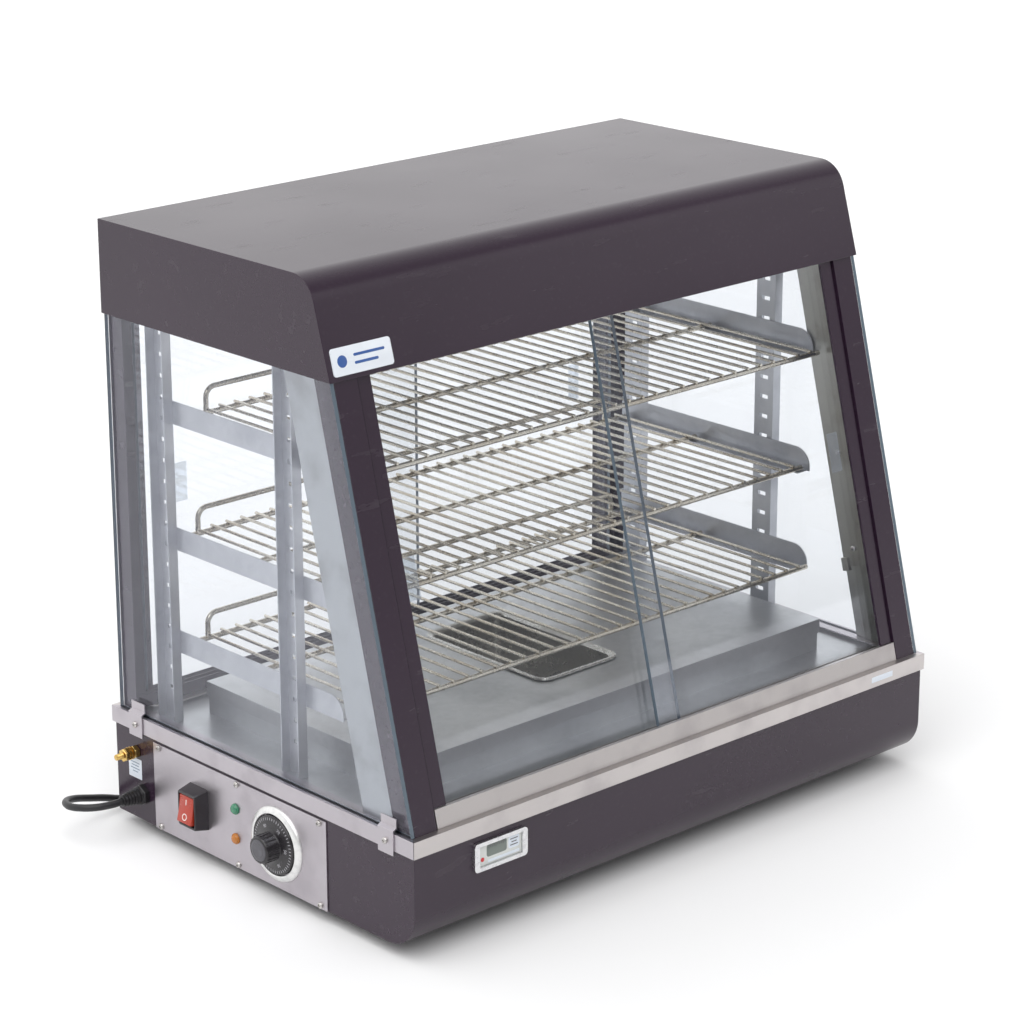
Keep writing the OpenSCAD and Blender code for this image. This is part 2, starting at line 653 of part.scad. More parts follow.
// Gland nut with a tapered strain relief.
module cord_gland() color("black") out_left(-base_x, gland_y, gland_z) {
  translate([0, 0, -skin - 3]) cylinder(d = 14, h = skin + 3, $fn = 32);
  cylinder(d = 21, h = relief_z, $fn = 6);
  translate([0, 0, relief_z]) cylinder(d1 = 17, d2 = 11, h = gland_out - relief_z, $fn = 48);
}

// Direction of a route at point i, and the two directions across it.
function along(r, i) = let (d = r[min(i + 1, len(r) - 1)] - r[max(i - 1, 0)]) d / norm(d);
function aside(t) = let (s = cross(t, [0, 0, 1])) s / norm(s);

// Corners of the ring around point i of a route.
function ring(r, i, d, sides) = let (t = along(r, i), s = aside(t), u = cross(s, t))
  [for (k = [0:sides - 1]) r[i] + d / 2 * (cos(360 * k / sides) * s + sin(360 * k / sides) * u)];

// A closed tube swept along the points of a route.
module tube(r, d, sides = 10) {
  n = len(r);
  points = [for (i = [0:n - 1]) each ring(r, i, d, sides)];
  skin_faces = [for (i = [0:n - 2], k = [0:sides - 1])
    let (a = i * sides, m = (k + 1) % sides)
      each [[a + k, a + m, a + sides + m], [a + k, a + sides + m, a + sides + k]]];
  ends = [[for (k = [sides - 1:-1:0]) k], [for (k = [0:sides - 1]) (n - 1) * sides + k]];
  polyhedron(points, concat(skin_faces, ends));
}

module cord() color("black") translate(cord_exit) {
  tube(cord_route, cord_d);
  tube(tail_route, cord_d);
}

module cord_coil() color("black") translate(cord_exit + [coil_at[0], coil_at[1], coil_z0 - gland_z])
  rotate_extrude($fn = 96) translate([coil_r - cord_d, 0]) square([2 * cord_d, 2 * cord_d]);

// Moulded mains plug with two flat blades and a round earth pin.
module plug() color("black") translate(cord_exit + tail_route[len(tail_route) - 1]) rotate([0, 90, 0]) {
  cylinder(d1 = 10, d2 = 15, h = 18, $fn = 32);
  translate([0, 0, 18]) cylinder(d = plug_d, h = 20, $fn = 48);
  for (sy = [-1, 1]) block([-6, sy * 6.3 - 0.75, 38], [0.4, sy * 6.3 + 0.75, 54]);
  translate([6, 0, 38]) cylinder(d = 4.8, h = 18, $fn = 24);
}

base_shell();
base_plate();
rubber_feet();
belt_front();
belt_left();
belt_right();
belt_rear();
floor_pan();
heater_lid();
water_pan();
front_post_left();
front_post_right();
rear_post_left();
rear_post_right();
jamb_left();
jamb_right();
sill_rail();
rear_track();
upright_front_left();
upright_front_right();
upright_rear_left();
upright_rear_right();
bracket_bottom_left();
bracket_bottom_right();
bracket_middle_left();
bracket_middle_right();
bracket_top_left();
bracket_top_right();
shelf_bottom();
shelf_middle();
shelf_top();
canopy_shell();
canopy_liner();
lamp_holder();
lamp_bulb();
side_glass_left();
side_glass_right();
glass_clips();
small_screws();
front_door_left();
front_door_right();
rear_door_left();
rear_door_right();
front_pull_left();
front_pull_right();
rear_pull_left();
rear_pull_right();
control_panel();
switch_body();
switch_rocker();
lamp_green();
lamp_amber();
thermostat_ring();
thermostat_knob();
thermometer();
bonding_terminal();
cord_gland();
cord();
cord_coil();
plug();
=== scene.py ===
"""Looks of the hot food display case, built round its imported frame.

Metres, X to the right seen from the front, Y to the back, Z up, origin on the table under the middle.
"""

import json
import logging
import math
from collections.abc import Iterable, Mapping, Sequence
from dataclasses import dataclass
from enum import Enum
from typing import Any

import bmesh
import bpy
from mathutils import Matrix, Vector

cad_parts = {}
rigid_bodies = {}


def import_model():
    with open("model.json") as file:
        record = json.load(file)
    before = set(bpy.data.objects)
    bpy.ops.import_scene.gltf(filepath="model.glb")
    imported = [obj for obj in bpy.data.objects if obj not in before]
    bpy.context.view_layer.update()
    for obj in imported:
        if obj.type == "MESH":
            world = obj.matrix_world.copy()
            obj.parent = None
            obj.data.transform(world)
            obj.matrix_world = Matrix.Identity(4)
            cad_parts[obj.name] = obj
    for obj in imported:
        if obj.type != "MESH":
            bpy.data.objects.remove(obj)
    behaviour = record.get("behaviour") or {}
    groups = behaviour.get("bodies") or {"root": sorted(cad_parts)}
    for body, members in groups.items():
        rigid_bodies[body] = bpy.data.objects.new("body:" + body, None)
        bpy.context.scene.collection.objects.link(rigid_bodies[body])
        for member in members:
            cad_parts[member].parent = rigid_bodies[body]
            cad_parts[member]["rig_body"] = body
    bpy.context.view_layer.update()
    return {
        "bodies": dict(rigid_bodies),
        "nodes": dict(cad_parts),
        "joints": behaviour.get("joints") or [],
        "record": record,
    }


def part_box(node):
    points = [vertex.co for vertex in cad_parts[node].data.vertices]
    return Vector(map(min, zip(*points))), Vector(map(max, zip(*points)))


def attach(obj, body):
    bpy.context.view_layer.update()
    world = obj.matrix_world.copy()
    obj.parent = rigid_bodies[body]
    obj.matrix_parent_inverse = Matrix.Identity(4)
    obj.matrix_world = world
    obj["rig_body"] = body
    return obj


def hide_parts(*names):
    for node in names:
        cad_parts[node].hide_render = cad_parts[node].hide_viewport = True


LOG = logging.getLogger("display_case")
MM = 0.001

Colour = tuple[float, float, float]
Point = tuple[float, float, float]
Outline = Sequence[tuple[float, float]]


# ---------- node trees ----------


class NodeTree:
    """Adds nodes to a Blender node tree, by type, settings and inputs."""

    def __init__(self, tree: bpy.types.NodeTree) -> None:
        """Keeps the tree that the nodes go to."""
        self.tree = tree

    def node(
        self,
        kind: str,
        settings: Mapping[str, Any] | None = None,
        inputs: Mapping[Any, Any] | None = None,
    ) -> bpy.types.Node:
        """Adds one node.

        Args:
            kind: The node's type.
            settings: Its properties, set first; "stops" gives a ramp's (position, colour) pairs.
            inputs: Values or links of its sockets, by name or number.

        Returns:
            The node.
        """
        made = self.tree.nodes.new(kind)
        for key, value in (settings or {}).items():
            if key == "stops":
                self._set_stops(made.color_ramp.elements, value)
            else:
                setattr(made, key, value)
        for key, value in (inputs or {}).items():
            self.feed(made.inputs[key], value)
        return made

    def feed(self, socket: bpy.types.NodeSocket, value: Any) -> None:
        """Links a socket or a number's socket to an input, or sets the input's own value."""
        source = value.socket if isinstance(value, Number) else value
        if isinstance(source, bpy.types.NodeSocket):
            self.tree.links.new(source, socket)
        else:
            socket.default_value = source

    @staticmethod
    def _set_stops(elements: Any, stops: Sequence[tuple[float, Colour]]) -> None:
        """Gives a ramp its (position, colour) stops."""
        while len(elements) < len(stops):
            elements.new(1.0)
        for element, (position, colour) in zip(elements, stops):
            element.position = position
            element.color = (*colour, 1.0)


class Number:
    """A number that varies over a surface; Python's operators add Math nodes to it."""

    def __init__(self, graph: "Graph", socket: bpy.types.NodeSocket) -> None:
        """Wraps a socket of a material's graph."""
        self.graph = graph
        self.socket = socket

    def _math(self, operation: str, *terms: Any) -> "Number":
        """Adds one Math node over the terms."""
        made = self.graph.node("ShaderNodeMath", {"operation": operation}, dict(enumerate(terms)))
        return Number(self.graph, made.outputs[0])

    def __add__(self, other: Any) -> "Number":
        """self + other"""
        return self._math("ADD", self, other)

    def __radd__(self, other: Any) -> "Number":
        """other + self"""
        return self._math("ADD", other, self)

    def __sub__(self, other: Any) -> "Number":
        """self - other"""
        return self._math("SUBTRACT", self, other)

    def __rsub__(self, other: Any) -> "Number":
        """other - self"""
        return self._math("SUBTRACT", other, self)

    def __mul__(self, other: Any) -> "Number":
        """self * other"""
        return self._math("MULTIPLY", self, other)

    def __rmul__(self, other: Any) -> "Number":
        """other * self"""
        return self._math("MULTIPLY", other, self)

    def __pow__(self, other: Any) -> "Number":
        """self ** other"""
        return self._math("POWER", self, other)

    def step(self, low: float, high: float) -> "Number":
        """The number turned into a soft mask, 0 below low and 1 above high."""
        made = self.graph.node(
            "ShaderNodeMapRange",
            {"interpolation_type": "SMOOTHSTEP"},
            {"Value": self, "From Min": low, "From Max": high},
        )
        return Number(self.graph, made.outputs["Result"])


class Graph(NodeTree):
    """The shader graph of one material."""

    def __init__(self, name: str) -> None:
        """Starts an empty material.

        Args:
            name: The material's name.
        """
        self.material = bpy.data.materials.new(name)
        self.material.use_nodes = True
        super().__init__(self.material.node_tree)
        self.tree.nodes.clear()
        self.place = self.node("ShaderNodeTexCoord").outputs["Object"]

    def _stretched(self, rate: float | Point) -> bpy.types.NodeSocket:
        """Object coordinates multiplied by a rate per metre, one or three numbers."""
        scale = rate if isinstance(rate, tuple) else (rate, rate, rate)
        return self.node("ShaderNodeMapping", None, {"Vector": self.place, "Scale": scale}).outputs[0]

    def noise(self, rate: float | Point, detail: float = 2.0) -> Number:
        """Soft noise.

        Args:
            rate: Blotches per metre, one number or one for each axis.
            detail: How much finer noise is laid over it.

        Returns:
            A number round 0.5.
        """
        inputs = {"Vector": self._stretched(rate), "Scale": 1.0, "Detail": detail}
        return Number(self, self.node("ShaderNodeTexNoise", None, inputs).outputs["Fac"])

    def cells(self, rate: float) -> Number:
        """A random number for each cell of a crystal pattern, at a rate per metre."""
        made = self.node("ShaderNodeTexVoronoi", None, {"Vector": self._stretched(rate), "Scale": 1.0})
        split = self.node("ShaderNodeSeparateColor", None, {"Color": made.outputs["Color"]})
        return Number(self, split.outputs[0])

    def mix(self, share: Number, first: Any, second: Any) -> bpy.types.NodeSocket:
        """A colour between two colours, by a share of the second."""
        ends = [(*c, 1.0) if isinstance(c, tuple) else c for c in (first, second)]
        settings = {"data_type": "RGBA", "clamp_factor": True}
        return self.node("ShaderNodeMix", settings, {0: share, 6: ends[0], 7: ends[1]}).outputs[2]

    def bump(self, height: Number, strength: float, depth: float) -> bpy.types.NodeSocket:
        """A normal from a height that varies between 0 and 1.

        Args:
            height: The height.
            strength: Share of the effect that is kept.
            depth: The height's real size in metres.

        Returns:
            The normal.
        """
        inputs = {"Strength": strength, "Distance": depth, "Height": height}
        return self.node("ShaderNodeBump", None, inputs).outputs[0]

    def surface(self, inputs: Mapping[str, Any]) -> bpy.types.NodeSocket:
        """A Principled shader with these inputs."""
        filled = {k: (*v, 1.0) if isinstance(v, tuple) and len(v) == 3 else v for k, v in inputs.items()}
        return self.node("ShaderNodeBsdfPrincipled", None, filled).outputs[0]

    def close(self, shader: bpy.types.NodeSocket) -> bpy.types.Material:
        """Sends a shader to the output and hands the material over."""
        self.node("ShaderNodeOutputMaterial", None, {"Surface": shader})
        return self.material


# ---------- finishes ----------


class Grain(Enum):
    """Direction in which a sheet was brushed, as noise rates per metre."""

    ALONG_X = (5.0, 1100.0, 1100.0)
    ALONG_Y = (1100.0, 5.0, 1100.0)
    ALONG_Z = (1100.0, 1100.0, 5.0)


@dataclass(frozen=True)
class Finish:
    """A surface finish; its material is made once and shared."""

    name: str

    def material(self) -> bpy.types.Material:
        """The finish's material."""
        return bpy.data.materials.get(self.name) or self.make(Graph(self.name))

    def make(self, graph: Graph) -> bpy.types.Material:
        """Builds the material in an empty graph."""
        raise NotImplementedError


@dataclass(frozen=True)
class PaintedSheet(Finish):
    """Semi-gloss powder coat with an orange-peel skin, faint clouding and dry scuffs."""

    colour: Colour
    shade: Colour
    scuff: Colour
    roughness: float = 0.20

    def make(self, graph: Graph) -> bpy.types.Material:
        """Builds the material in an empty graph."""
        cloud = graph.noise(7.0, 3.0)
        scuffs = graph.noise((16.0, 70.0, 70.0), 6.0).step(0.60, 0.82)
        dust = graph.noise(240.0, 3.0).step(0.55, 0.80)
        peel = graph.noise(1500.0, 1.0)
        colour = graph.mix(cloud, self.colour, self.shade)
        colour = graph.mix(scuffs * 0.16 + dust * 0.05, colour, self.scuff)
        return graph.close(graph.surface({
            "Base Color": colour,
            "Roughness": self.roughness + cloud * 0.10 + scuffs * 0.14,
            "Normal": graph.bump(peel, 0.30, 0.05 * MM),
        }))


@dataclass(frozen=True)
class BrushedSheet(Finish):
    """Stainless sheet brushed in one direction, with finger smudges."""

    colour: Colour
    stain: Colour
    grain: Grain
    roughness: float = 0.34

    def make(self, graph: Graph) -> bpy.types.Material:
        """Builds the material in an empty graph."""
        lines = graph.noise(self.grain.value, 4.0)
        smudge = graph.noise(26.0, 4.0).step(0.45, 0.75)
        cloud = graph.noise(5.0, 2.0)
        colour = graph.mix(smudge * 0.55 + cloud * 0.25, self.colour, self.stain)
        return graph.close(graph.surface({
            "Base Color": colour,
            "Metallic": 1.0,
            "Roughness": self.roughness + lines * 0.16 + smudge * 0.10 - 0.08,
            "Normal": graph.bump(lines, 0.35, 0.02 * MM),
        }))


@dataclass(frozen=True)
class RolledSheet(Finish):
    """Plain cold-rolled or galvanised sheet with soft crystal flakes, water marks and rub lines."""

    colour: Colour
    stain: Colour
    flake: float
    roughness: float = 0.40

    def make(self, graph: Graph) -> bpy.types.Material:
        """Builds the material in an empty graph."""
        flakes = graph.cells(1.0 / self.flake)
        marks = graph.noise(18.0, 5.0).step(0.42, 0.78)
        rubs = graph.noise((12.0, 420.0, 420.0), 3.0)
        colour = graph.mix(marks * 0.6 + flakes * 0.25, self.colour, self.stain)
        return graph.close(graph.surface({
            "Base Color": colour,
            "Metallic": 1.0,
            "Roughness": self.roughness + flakes * 0.06 + marks * 0.12 + rubs * 0.06 - 0.05,
            "Normal": graph.bump(rubs, 0.15, 0.02 * MM),
        }))


@dataclass(frozen=True)
class PlatedWire(Finish):
    """Bright plated wire, warmer where it has been heated."""

    colour: Colour
    warm: Colour
    roughness: float = 0.20

    def make(self, graph: Graph) -> bpy.types.Material:
        """Builds the material in an empty graph."""
        heat = graph.noise(22.0, 3.0).step(0.35, 0.75)
        grease = graph.noise(160.0, 3.0)
        return graph.close(graph.surface({
            "Base Color": graph.mix(heat, self.colour, self.warm),
            "Metallic": 1.0,
            "Roughness": self.roughness + grease * 0.20 - 0.04,
            "Normal": graph.bump(grease, 0.10, 0.05 * MM),
        }))


@dataclass(frozen=True)
class Moulding(Finish):
    """Moulded plastic or rubber with a fine skin, and a gloss of its own."""

    colour: Colour
    worn: Colour
    roughness: float
    skin: float = 0.03
    coat: float = 0.0

    def make(self, graph: Graph) -> bpy.types.Material:
        """Builds the material in an empty graph."""
        wear = graph.noise(120.0, 5.0).step(0.50, 0.85)
        fine = graph.noise(2600.0, 2.0)
        return graph.close(graph.surface({
            "Base Color": graph.mix(wear * 0.6, self.colour, self.worn),
            "Roughness": self.roughness + wear * 0.12,
            "Coat Weight": self.coat,
            "Normal": graph.bump(fine, 0.25, self.skin * MM),
        }))


@dataclass(frozen=True)
class TurnedMetal(Finish):
    """Plated or raw turned metal with tarnish in its blotches."""

    colour: Colour
    tarnish: Colour
    roughness: float

    def make(self, graph: Graph) -> bpy.types.Material:
        """Builds the material in an empty graph."""
        blotch = graph.noise(210.0, 4.0).step(0.40, 0.72)
        lines = graph.noise(900.0, 2.0)
        return graph.close(graph.surface({
            "Base Color": graph.mix(blotch, self.colour, self.tarnish),
            "Metallic": 1.0,
            "Roughness": self.roughness + blotch * 0.16 + lines * 0.05,
            "Normal": graph.bump(lines, 0.12, 0.02 * MM),
        }))


@dataclass(frozen=True)
class Pane(Finish):
    """Clear flat glass: it lets straight light through with a tint and mirrors more at a glance."""

    tint: Colour
    mirror: float = 0.045
    haze: float = 0.012
    reflection: Colour = (0.90, 0.91, 1.0)
    polish: float = 0.02

    def make(self, graph: Graph) -> bpy.types.Material:
        """Builds the material in an empty graph."""
        facing = graph.node("ShaderNodeLayerWeight", None, {"Blend": 0.5}).outputs["Facing"]
        wipe = graph.noise((30.0, 30.0, 5.0), 4.0).step(0.50, 0.80)
        mirror = self.mirror + wipe * self.haze + Number(graph, facing) ** 5.0 * 0.95
        clear = graph.node("ShaderNodeBsdfTransparent", None, {"Color": (*self.tint, 1.0)})
        inputs = {"Color": (*self.reflection, 1.0), "Roughness": self.polish}
        shine = graph.node("ShaderNodeBsdfGlossy", None, inputs)
        inputs = {0: mirror, 1: clear.outputs[0], 2: shine.outputs[0]}
        made = graph.node("ShaderNodeMixShader", None, inputs)
        return graph.close(made.outputs[0])


@dataclass(frozen=True)
class PaneEdge(Finish):
    """Ground edge of a pane, where the glass looks deep blue-green."""

    colour: Colour
    deep: Colour

    def make(self, graph: Graph) -> bpy.types.Material:
        """Builds the material in an empty graph."""
        depth = graph.noise((40.0, 40.0, 9.0), 3.0)
        return graph.close(graph.surface({
            "Base Color": graph.mix(depth, self.colour, self.deep),
            "Roughness": 0.16 + depth * 0.12,
        }))


PAINT = PaintedSheet("painted sheet", (0.030, 0.015, 0.031), (0.022, 0.011, 0.023), (0.14, 0.13, 0.14))
BELT_X = BrushedSheet("brushed belt, lengthwise", (0.60, 0.565, 0.555), (0.47, 0.44, 0.445), Grain.ALONG_X)
BELT_Y = BrushedSheet("brushed belt, front to back", (0.51, 0.48, 0.51), (0.41, 0.38, 0.41), Grain.ALONG_Y)
BRUSHED_UP = BrushedSheet("brushed jamb", (0.45, 0.47, 0.49), (0.29, 0.29, 0.30), Grain.ALONG_Z)
# The same brushed jamb steel, painted darker and browner for the right jamb: painted shade.
SHADED_JAMB = BrushedSheet("heat-stained jamb", (0.42, 0.42, 0.40), (0.17, 0.15, 0.12), Grain.ALONG_Z)
SHEET = RolledSheet("cabinet sheet", (0.50, 0.51, 0.52), (0.41, 0.42, 0.43), 6 * MM, 0.32)
PAN_SHEET = RolledSheet("drawn pan steel", (0.54, 0.53, 0.50), (0.42, 0.41, 0.39), 3 * MM, 0.26)
RACK = RolledSheet("galvanised rack", (0.54, 0.55, 0.58), (0.44, 0.45, 0.49), 9 * MM, 0.42)
GALVANISED = RolledSheet("galvanised plate", (0.52, 0.53, 0.55), (0.42, 0.43, 0.46), 14 * MM, 0.45)
WIRE = PlatedWire("plated wire", (0.66, 0.62, 0.54), (0.50, 0.44, 0.35))
SCREW = TurnedMetal("screw steel", (0.62, 0.60, 0.58), (0.42, 0.40, 0.39), 0.24)
CHROME = TurnedMetal("bright bezel", (0.80, 0.80, 0.81), (0.68, 0.68, 0.70), 0.16)
RING = TurnedMetal("satin dial ring", (0.82, 0.82, 0.81), (0.72, 0.72, 0.72), 0.30)
BRASS = TurnedMetal("brass", (0.72, 0.50, 0.17), (0.42, 0.28, 0.10), 0.24)
RUBBER = Moulding("foot rubber", (0.018, 0.018, 0.019), (0.050, 0.049, 0.048), 0.62, 0.06)
JACKET = Moulding("cord jacket", (0.014, 0.014, 0.016), (0.034, 0.034, 0.036), 0.42, 0.03)
GLAND = Moulding("gland nylon", (0.013, 0.012, 0.014), (0.035, 0.033, 0.036), 0.34, 0.03)
SWITCH = Moulding("switch housing", (0.016, 0.013, 0.017), (0.040, 0.034, 0.040), 0.30, 0.02, 0.2)
ROCKER = Moulding("red rocker", (0.40, 0.034, 0.014), (0.28, 0.020, 0.012), 0.24, 0.01, 0.2)
ROCKER_MARK = Moulding("rocker mark", (0.82, 0.78, 0.74), (0.70, 0.66, 0.62), 0.40)
GREEN_LENS = Moulding("green lens", (0.030, 0.200, 0.105), (0.020, 0.140, 0.075), 0.18, 0.01, 0.6)
AMBER_LENS = Moulding("amber lens", (0.44, 0.150, 0.012), (0.34, 0.110, 0.010), 0.18, 0.01, 0.3)
KNOB = Moulding("knob black", (0.012, 0.010, 0.013), (0.030, 0.027, 0.031), 0.26, 0.01, 0.2)
KNOB_RIB = Moulding("knob ribs black", (0.012, 0.010, 0.013), (0.024, 0.022, 0.026), 0.42)
KNOB_MARK = Moulding("dial marks", (0.46, 0.45, 0.48), (0.30, 0.29, 0.32), 0.40)
KNOB_CAP = Moulding("knob cap", (0.060, 0.058, 0.070), (0.12, 0.12, 0.14), 0.28, 0.01, 0.3)
PULL = Pane("clear grip", (0.90, 0.93, 0.95), 0.20, 0.10)
CERAMIC = Moulding("lamp ceramic", (0.78, 0.76, 0.72), (0.62, 0.60, 0.56), 0.35)
BULB = Moulding("frosted bulb", (0.86, 0.85, 0.80), (0.74, 0.73, 0.69), 0.22, 0.01, 0.5)
BADGE = Moulding("badge white", (0.78, 0.82, 0.88), (0.70, 0.74, 0.82), 0.22, 0.01, 0.4)
BADGE_INK = Moulding("badge blue", (0.040, 0.105, 0.330), (0.060, 0.130, 0.350), 0.30)
LABEL = Moulding("label paper", (0.72, 0.77, 0.84), (0.60, 0.66, 0.74), 0.50)
LABEL_INK = Moulding("label ink", (0.20, 0.27, 0.36), (0.28, 0.34, 0.42), 0.50)
METER_FACE = Moulding("meter face", (0.66, 0.68, 0.66), (0.54, 0.56, 0.55), 0.22, 0.01, 0.5)
METER_INK = Moulding("meter ink", (0.060, 0.058, 0.066), (0.10, 0.10, 0.11), 0.40)
METER_SCREEN = Moulding("meter screen", (0.16, 0.19, 0.17), (0.12, 0.15, 0.14), 0.16, 0.01, 0.5)
METER_RED = Moulding("meter red", (0.62, 0.035, 0.045), (0.50, 0.030, 0.040), 0.30)
GLASS = Pane("clear glass", (0.972, 0.980, 0.988), 0.055)
GLASS_EDGE = PaneEdge("glass edge", (0.13, 0.17, 0.21), (0.08, 0.11, 0.14))


# ---------- meshes ----------


def outward_left(at: Vector) -> Matrix:
    """Places a shape drawn along Z so that it points out of the case's left side at a point."""
    return Matrix.Translation(at) @ Matrix.Rotation(-math.pi / 2, 4, "Y")


def outward_front(at: Vector) -> Matrix:
    """Places a shape drawn along Z so that it points out of the case's front at a point."""
    return Matrix.Translation(at) @ Matrix.Rotation(math.pi / 2, 4, "X")


def shift(x: float = 0.0, y: float = 0.0, z: float = 0.0) -> Matrix:
    """A move in millimetres."""
    return Matrix.Translation((x * MM, y * MM, z * MM))


def beside(x: float, low: Vector, high: Vector) -> Vector:
    """A point at an X, level with the middle of a box."""
    return Vector((x, (low.y + high.y) / 2, (low.z + high.z) / 2))


def finished(shape: bmesh.types.BMesh, name: str, crease: float = 35.0) -> bpy.types.Mesh:
    """Turns a bmesh into a mesh, smooth except across creases.

    Args:
        shape: The bmesh, which is freed.
        name: The mesh's name.
        crease: Angle in degrees from which an edge stays crisp.

    Returns:
        The mesh.
    """
    limit = math.radians(crease)
    for face in shape.faces:
        face.smooth = True
    for edge in shape.edges:
        edge.smooth = len(edge.link_faces) == 2 and edge.calc_face_angle(0.0) < limit
    mesh = bpy.data.meshes.new(name)
    shape.to_mesh(mesh)
    shape.free()
    return mesh


def moved(mesh: bpy.types.Mesh, place: Matrix) -> bpy.types.Mesh:
    """The mesh after a move."""
    mesh.transform(place)
    return mesh


def joined(meshes: Iterable[bpy.types.Mesh], name: str) -> bpy.types.Mesh:
    """Several meshes as one."""
    shape = bmesh.new()
    for mesh in meshes:
        shape.from_mesh(mesh)
    return finished(shape, name)


def lathe(profile: Outline, name: str, steps: int = 48) -> bpy.types.Mesh:
    """Turns a profile round the Z axis.

    Args:
        profile: (radius, height) pairs in millimetres, from axis to axis or round a closed loop.
        name: The mesh's name.
        steps: Faces round the axis.

    Returns:
        The mesh.
    """
    shape = bmesh.new()
    rings = []
    for radius, height in profile:
        turns = [2 * math.pi * k / steps for k in range(steps if radius > 0 else 1)]
        ring = [Vector((radius * math.cos(a), radius * math.sin(a), height)) * MM for a in turns]
        rings.append([shape.verts.new(point) for point in ring])
    for low, high in zip(rings, rings[1:]):
        for k in range(steps):
            pairs = ((low, k), (low, k + 1), (high, k + 1), (high, k))
            corners = [ring[turn % len(ring)] for ring, turn in pairs]
            shape.faces.new(list(dict.fromkeys(corners)))
    bmesh.ops.remove_doubles(shape, verts=shape.verts, dist=1e-7)
    bmesh.ops.recalc_face_normals(shape, faces=shape.faces)
    return finished(shape, name)


def rounded_outline(width: float, length: float, radius: float, steps: int = 8) -> Outline:
    """Corners of a rectangle with rounded corners, centred on the origin, counter-clockwise."""
    points = []
    for quarter, (sx, sy) in enumerate(((1, 1), (-1, 1), (-1, -1), (1, -1))):
        for k in range(steps + 1):
            angle = math.pi / 2 * (quarter + k / steps)
            x = sx * (width / 2 - radius) + radius * math.cos(angle)
            y = sy * (length / 2 - radius) + radius * math.sin(angle)
            points.append((x, y))
    return points


def bridge(shape: bmesh.types.BMesh, low: Sequence[Any], high: Sequence[Any]) -> None:
    """Adds the faces between two rings of equally many vertices."""
    for k in range(len(low)):
        m = (k + 1) % len(low)
        shape.faces.new((low[k], low[m], high[m], high[k]))


def closed_rings(
    shape: bmesh.types.BMesh, rings: Sequence[Sequence[Any]], name: str, crease: float = 35.0
) -> bpy.types.Mesh:
    """Joins rings of vertices in order and closes both ends.

    Args:
        shape: The bmesh that holds them.
        rings: The rings.
        name: The mesh's name.
        crease: Angle in degrees from which an edge stays crisp.

    Returns:
        The mesh.
    """
    for low, high in zip(rings, rings[1:]):
        bridge(shape, low, high)
    shape.faces.new(list(reversed(rings[0])))
    shape.faces.new(rings[-1])
    bmesh.ops.recalc_face_normals(shape, faces=shape.faces)
    return finished(shape, name, crease)


def loft(sections: Sequence[tuple[Outline, float]], name: str) -> bpy.types.Mesh:
    """Joins outlines of equal point counts, and closes both ends.

    Args:
        sections: (outline, height) pairs in millimetres.
        name: The mesh's name.

    Returns:
        The mesh.
    """
    shape = bmesh.new()
    rings = [[shape.verts.new((x * MM, y * MM, z * MM)) for x, y in outline] for outline, z in sections]
    return closed_rings(shape, rings, name)


def plate(
    width: float, length: float, thick: float, radius: float, ease: float, name: str
) -> bpy.types.Mesh:
    """A flat plate with rounded corners and eased upper edges, standing on z = 0, in millimetres."""
    steps = ((0.0, 0.0), (0.0, thick - ease), (0.3 * ease, thick - 0.3 * ease), (ease, thick))
    sections = [
        (rounded_outline(width - 2 * inset, length - 2 * inset, radius - inset), height)
        for inset, height in steps
    ]
    return loft(sections, name)


def tube(path: Sequence[Vector], radius: float, name: str, sides: int = 16) -> bpy.types.Mesh:
    """A round tube along a path, with closed ends.

    Args:
        path: The points of its centreline.
        radius: Its radius in metres.
        name: The mesh's name.
        sides: Faces round the tube.

    Returns:
        The mesh.
    """
    shape = bmesh.new()
    rings = []
    across = Vector((0.0, 1.0, 0.0))
    for k, point in enumerate(path):
        along = (path[min(k + 1, len(path) - 1)] - path[max(k - 1, 0)]).normalized()
        across = (across - along * across.dot(along)).normalized()
        upward = along.cross(across)
        turns = [2 * math.pi * s / sides for s in range(sides)]
        ring = [point + radius * (across * math.cos(a) + upward * math.sin(a)) for a in turns]
        rings.append([shape.verts.new(corner) for corner in ring])
    return closed_rings(shape, rings, name, 60.0)


def taken_from(host: bpy.types.Object) -> bpy.types.Mesh:
    """The plain mesh of a helper object as its modifiers leave it; the helper is removed."""
    bpy.context.scene.collection.objects.link(host)
    scene = bpy.context.evaluated_depsgraph_get()
    made = bpy.data.meshes.new_from_object(host.evaluated_get(scene))
    bpy.data.objects.remove(host)
    return made


def evaluated(mesh: bpy.types.Mesh, modify: Mapping[str, Mapping[str, Any]]) -> bpy.types.Mesh:
    """A mesh with modifiers applied.

    Args:
        mesh: The mesh, which is used up.
        modify: Each modifier's type, with its settings.

    Returns:
        A plain mesh.
    """
    host = bpy.data.objects.new("host", mesh)
    for kind, settings in modify.items():
        modifier = host.modifiers.new(kind, kind)
        for key, value in settings.items():
            setattr(modifier, key, value)
    return taken_from(host)


# ---------- Geometry Nodes ----------


